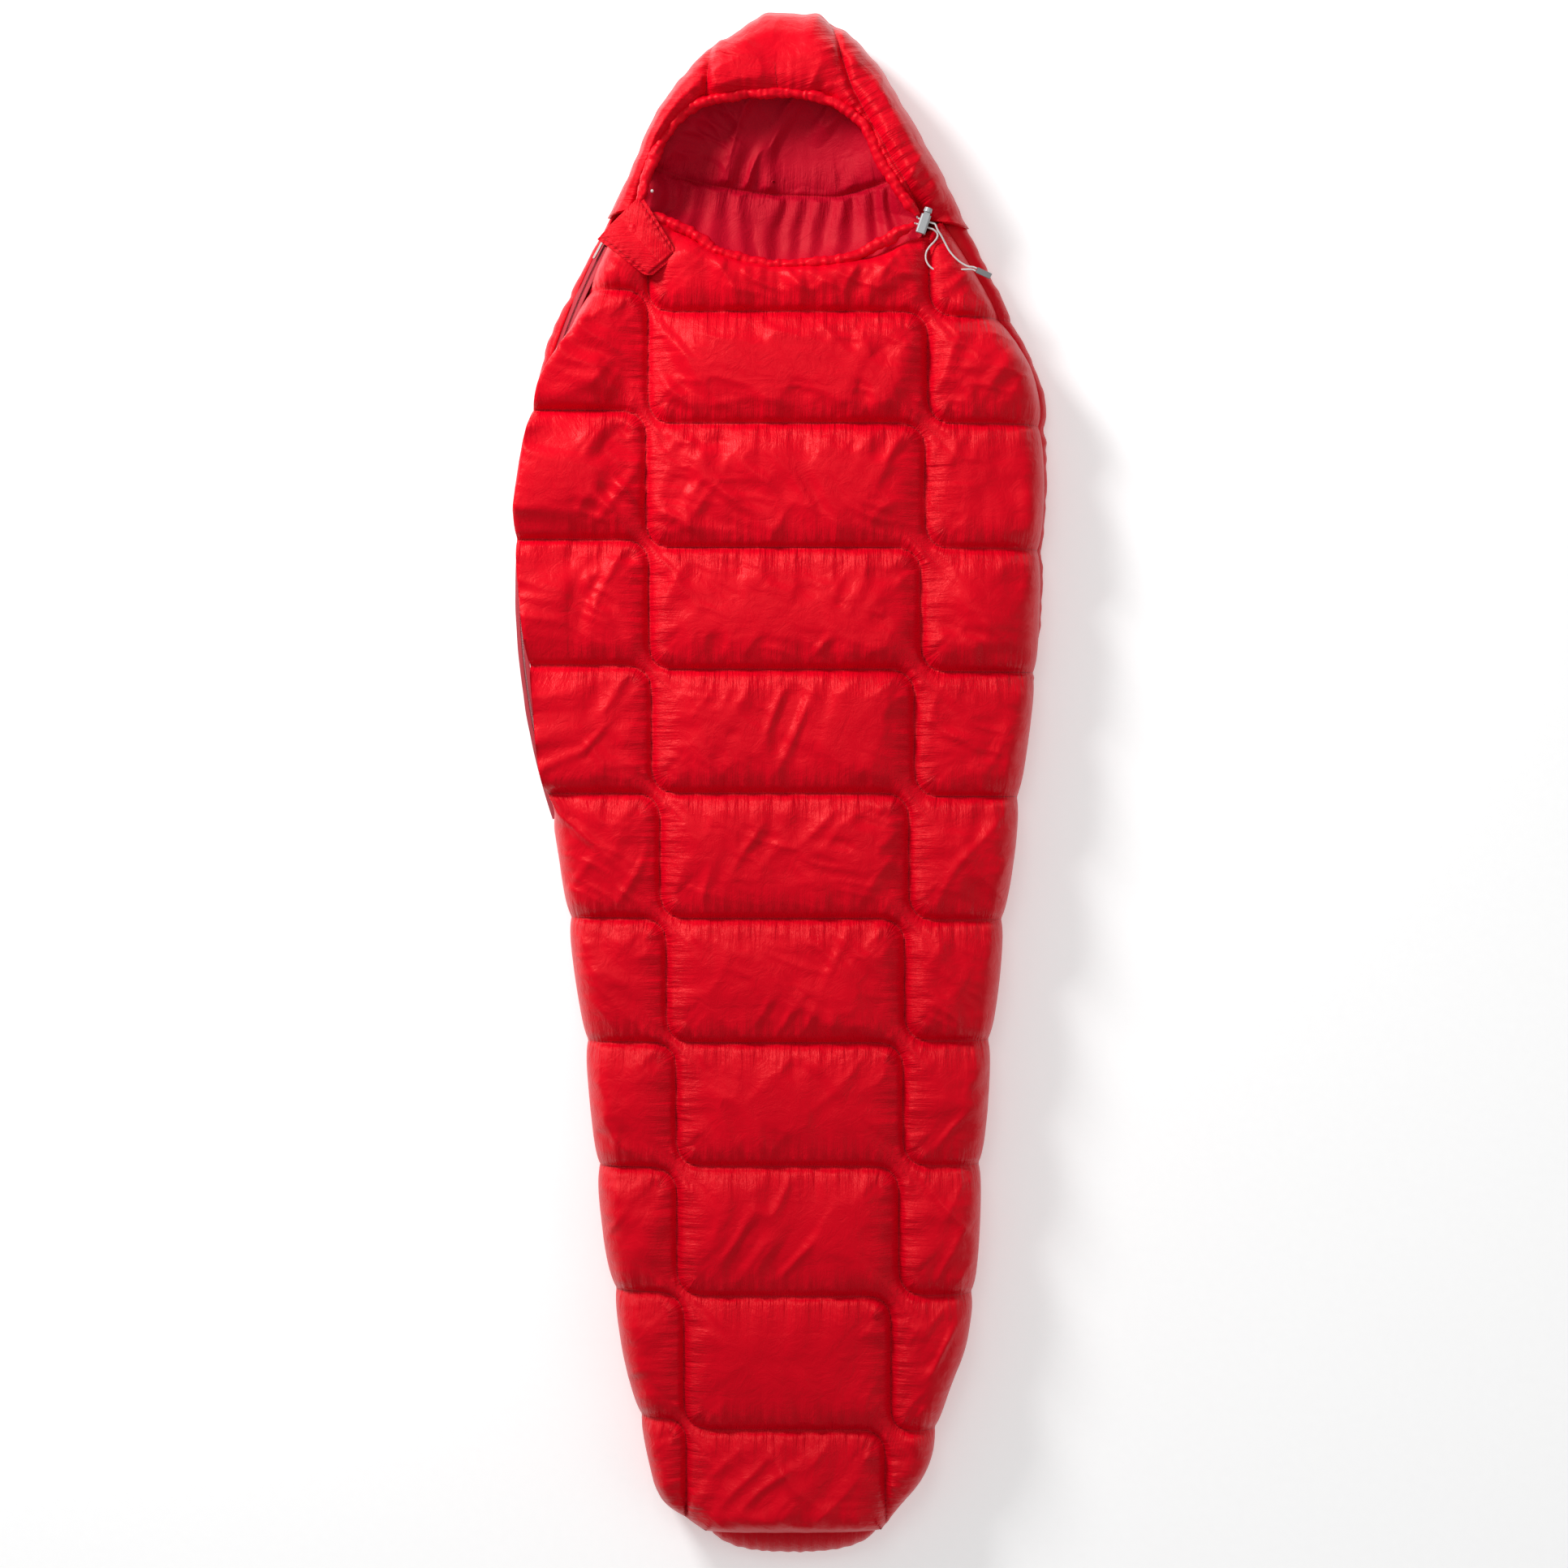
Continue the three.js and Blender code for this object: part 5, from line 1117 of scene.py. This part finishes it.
tape_finish, coil_finish = zip_tape_fabric(), nylon_coil()
for half, sign, high in (("back", -1, ZIP_TOP_ANGLE), ("front", 1, SLIDER_ANGLE - SLIDER_HALF)):
    around = np.linspace(FRONT_LOW_ANGLE - TAPE_END, high, TAPE_STEPS)[:, None]
    across = np.concatenate([TAPE_EDGES, TAPE_EDGES[::-1]])[None, :] * sign
    sides = across.size
    through = np.repeat([TAPE_HALF_THICK, -TAPE_HALF_THICK], len(TAPE_EDGES))[None, :]
    wave = 0.0006 * cloud(around * ZIP_RADIUS, 0 * around + sign, 0.03, 201)
    through = through + wave * np.abs(across) / TAPE_EDGES[-1]
    tape_faces = grid_faces(TAPE_STEPS, sides, wrap_columns=True)
    tape_faces += [list(range(sides)), list(range((TAPE_STEPS - 1) * sides, TAPE_STEPS * sides))]
    tape_uv = np.stack(np.broadcast_arrays(around * ZIP_RADIUS, across), axis=2)
    tape = piece(f"zip_tape_{half}_cloth", on_zip(around, across, through), tape_faces, tape_uv)
    outward(tape)
    tape.data.materials.append(tape_finish)
    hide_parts(f"zip_tape_{half}")
    coil_turns = (high - FRONT_LOW_ANGLE) * ZIP_RADIUS / COIL_PITCH
    wind = np.linspace(0, coil_turns * 2 * np.pi, int(coil_turns * 9))
    coil_angle = FRONT_LOW_ANGLE + (high - FRONT_LOW_ANGLE) * wind / wind[-1]
    coil_line = on_zip(coil_angle, sign * (0.0019 + 0.0011 * np.cos(wind)), 0.0011 * np.sin(wind))
    coil = tube(f"zip_coil_{half}_spiral", coil_line, 0.00042, 5)
    coil.data.materials.append(coil_finish)
    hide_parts(f"zip_coil_{half}")
    for made in (tape, coil):
        if half == "back":
            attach(made, "bag_back")
        else:
            folds_back(made)

# The draft tube lies behind the whole zip, inside the bag.
draft_angle = np.linspace(FRONT_LOW_ANGLE + 0.045, ZIP_TOP_ANGLE - 0.012, 240)
draft_radius = ZIP_RADIUS - DRAFT_INSIDE
draft_plan = np.stack([
    ZIP_CENTRE[0] - draft_radius * np.cos(draft_angle), ZIP_CENTRE[1] + draft_radius * np.sin(draft_angle),
    np.full(len(draft_angle), DRAFT_HEIGHT),
], axis=1)
draft = ruffled("draft_tube_sleeve", draft_plan, DRAFT_RADIUS, 211)
draft.data.materials[0] = lining_finish
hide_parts("draft_tube")
folds_back(draft)


# ---------------------------------------------------------------------------------------
# Flap: a filled tongue of shell fabric, sewn down outside the top of the zip. It lies over
# the slider onto the quilt, and a line of stitches runs round it 5 mm from its edge.
FLAP_CORNERS = np.array([(-0.202, 0.834), (-0.2645, 0.7715), (-0.191, 0.714), (-0.150, 0.748)])
FLAP_LONG = 0.088
FLAP_HALF_WIDE = 0.036
STITCH_INSET = 0.005
flap_a, flap_c = np.meshgrid(np.linspace(0, 1, 90), np.linspace(-1, 1, 70), indexing="ij")
narrow = 1 - 0.30 * np.clip((flap_a - 0.86) / 0.14, 0, 1) ** 2.5
side_share = (flap_c * narrow + 1) / 2
upper_side = FLAP_CORNERS[0] + (FLAP_CORNERS[3] - FLAP_CORNERS[0]) * flap_a[..., None]
lower_side = FLAP_CORNERS[1] + (FLAP_CORNERS[2] - FLAP_CORNERS[1]) * flap_a[..., None]
flap_xy = upper_side + (lower_side - upper_side) * side_share[..., None]
flap_edge = np.minimum((1 - np.abs(flap_c)) * FLAP_HALF_WIDE, (1 - flap_a) * FLAP_LONG)
from_stitch = flap_edge - STITCH_INSET

# It rests on the quilt: the nearest points of the quilt give its height.
upper_grid = np.stack([plan_x.ravel(), plan_y.ravel(), top.ravel()], axis=1)
corner_part = upper_grid[(upper_grid[:, 1] > 0.70) & (upper_grid[:, 0] < -0.12)][::3]
gap = ((flap_xy[::6, ::6].reshape(-1, 1, 2) - corner_part[None, :, :2]) ** 2).sum(axis=2)
below_flap = corner_part[gap.argmin(axis=1), 2].reshape(flap_xy[::6, ::6].shape[:2])
rest_height = np.maximum(below_flap, 0.088).mean()
flap_base = rest_height + 0.008 - 0.010 * (1 - flap_a) ** 2 + 0.004 * np.sin(np.pi * flap_a)
uneven = 0.0035 * cloud(flap_xy[..., 0], flap_xy[..., 1], 0.03, 221)
flap_puff = 0.005 * loft_height(np.maximum(from_stitch, 0), 0.014)
flap_gathers = 0.0016 * ripple(flap_a * 0.09 + np.where(flap_c > 0, 0.3, 0), 0.003, 0.006, 223)
flap_gathers = flap_gathers * np.exp(-(from_stitch / 0.006) ** 2)
flap_top = flap_base + flap_puff + uneven + flap_gathers + 0.0016
flap = closed_shell("zip_flap_cloth", np.dstack([flap_xy, flap_top]),
    np.dstack([flap_xy, flap_base + 0.6 * uneven]),
    np.dstack([flap_a * 0.098 + np.abs(flap_c) * FLAP_HALF_WIDE, from_stitch]))
seam_attributes(flap, np.stack([np.abs(from_stitch), np.full(flap_top.shape, FAR_FROM_SEAM)]))
flap.data.materials.append(shell_finish)
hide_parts("zip_flap")
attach(flap, "flap")


# ---------------------------------------------------------------------------------------
# Drawcord inside the tunnels: the same braided cord as the free ends. One stretch runs
# inside each sleeve from its left end, and goes into the cord lock beside the other.
CORD_MOUTH_Y = 0.0055
CORD_INSIDE_X = -0.0102
for name, along, side, cord_y in (
    ("hood_cord", rim_high[8:-12:12], 1, UPPER_CORD_Y),
    ("collar_cord", collar_line[6:-8:8], -1, LOWER_CORD_Y),
):
    into_lock = [
        turned(LOCK_PLACE, LOCK_TURN, MOUTH_X, side * CORD_MOUTH_Y),
        turned(LOCK_PLACE, LOCK_TURN, CORD_INSIDE_X, cord_y),
    ]
    line = smooth_line(np.vstack([along, into_lock]), 0.002)
    made = tube(f"{name}_braid", line, CORD_DIAMETER / 2, 12)
    made.data.materials.append(cord_finish)
    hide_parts(name)
    if name == "hood_cord":
        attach(made, "bag_back")
    else:
        folds_back(made)


# ---------------------------------------------------------------------------------------
# Hardware: the cord lock, cord end and beads are moulded plastic, and the slider, its pull
# tab, the stops and the lock's spring are metal. The hook and loop patches are knitted.
def moulded_plastic(name, light, dark, rough):
    """Injection-moulded acetal: an even colour with a faint orange-peel from the mould, and
    a soft satin highlight along its edges."""
    made, tree, out = material(name)
    where = put(tree, "TexCoord")
    peel = put(tree, "TexNoise", [("Vector", where, "Object")], Scale=700, Detail=3)
    tone = put(tree, "MixRGB", [("Fac", peel, "Fac")], Color1=linear(dark), Color2=linear(light))
    bump = put(tree, "Bump", [("Height", peel, "Fac")], Strength=0.15, Distance=0.0002)
    look = [("Base Color", tone, "Color"), ("Normal", bump, "Normal")]
    shell = put(tree, "BsdfPrincipled", look, Roughness=rough)
    tree.links.new(shell.outputs["BSDF"], out.inputs["Surface"])
    return made


def cast_metal(name, light, dark, rough):
    """Die-cast or drawn metal with a worn lacquer: mirror-like along the edges, and clouded
    by fine scratches on the flats."""
    made, tree, out = material(name)
    where = put(tree, "TexCoord")
    scratch = put(tree, "TexNoise", [("Vector", where, "Object")], Scale=900, Detail=6, Distortion=2)
    tone = put(tree, "MixRGB", [("Fac", scratch, "Fac")], Color1=linear(dark), Color2=linear(light))
    gloss = put(tree, "MapRange", [("Value", scratch, "Fac")], To_Min=rough - 0.08, To_Max=rough + 0.12)
    look = [("Base Color", tone, "Color"), ("Roughness", gloss, "Result")]
    metal = put(tree, "BsdfPrincipled", look, Metallic=1.0)
    tree.links.new(metal.outputs["BSDF"], out.inputs["Surface"])
    return made


def hook_tape():
    """Hook and loop tape: a dark red nap of tiny hooks that scatters light, with no shine."""
    made, tree, out = material("knitted_hook_and_loop_tape")
    where = put(tree, "TexCoord")
    nap = put(tree, "TexVoronoi", [("Vector", where, "Object")], Scale=900)
    tone = put(tree, "MixRGB", [("Fac", nap, "Distance")], Color1=linear("#8A0E1E"), Color2=linear("#6A0814"))
    bump = put(tree, "Bump", [("Height", nap, "Distance")], Strength=1.0, Distance=0.0006)
    look = [("Base Color", tone, "Color"), ("Normal", bump, "Normal")]
    pile = put(tree, "BsdfPrincipled", look, Roughness=0.95)
    tree.links.new(pile.outputs["BSDF"], out.inputs["Surface"])
    return made


# The plunger's spring: three turns of 0.7 mm wire that stand along the lock's barrel and
# close up as the button goes in.
SPRING_LOW, SPRING_HIGH = -0.01255, -0.0087
SPRING_RADIUS = 0.0026
SPRING_WIRE = 0.00035
SPRING_TURNS = 3
spring_turn = np.linspace(0, SPRING_TURNS * 2 * np.pi, 24 * SPRING_TURNS + 1)
spring_along = np.linspace(SPRING_LOW, SPRING_HIGH, len(spring_turn))
spring_line = np.array([
    turned(LOCK_PLACE, LOCK_TURN, SPRING_RADIUS * math.cos(a), y) + [0, 0, SPRING_RADIUS * math.sin(a)]
    for a, y in zip(spring_turn, spring_along)
])
lock_spring = tube("plunger_spring", spring_line, SPRING_WIRE, 8)
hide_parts("lock_spring")
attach(lock_spring, "lock")
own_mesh(lock_spring)

# The rest of the hardware keeps the model's shapes.
lock_plastic = moulded_plastic("moulded_grey_acetal", "#A9ABAC", "#97999B", 0.35)
end_plastic = moulded_plastic("moulded_grey_rubber", "#7B7C7D", "#6A6B6C", 0.55)
bead_plastic = moulded_plastic("moulded_pale_nylon", "#E8E2DE", "#D8D1CC", 0.5)
zinc = cast_metal("nickel_plated_zinc", "#C9C6C2", "#8E8B88", 0.30)
steel = cast_metal("drawn_spring_steel", "#D5D5D5", "#A0A0A0", 0.22)
lock_spring.data.materials.append(steel)
for names, finish in (
    (("lock_barrel", "lock_plunger"), lock_plastic), (("cord_end",), end_plastic),
    (("hood_cord_stop", "collar_cord_stop"), bead_plastic),
    (("zip_slider", "zip_pull", "zip_bottom_stop", "zip_top_stop"), zinc),
    (("hook_patch", "loop_patch"), hook_tape()),
):
    for name in names:
        mesh = nodes[name].data
        if not mesh.materials:
            mesh.materials.append(finish)
        for i in range(len(mesh.materials)):
            mesh.materials[i] = finish
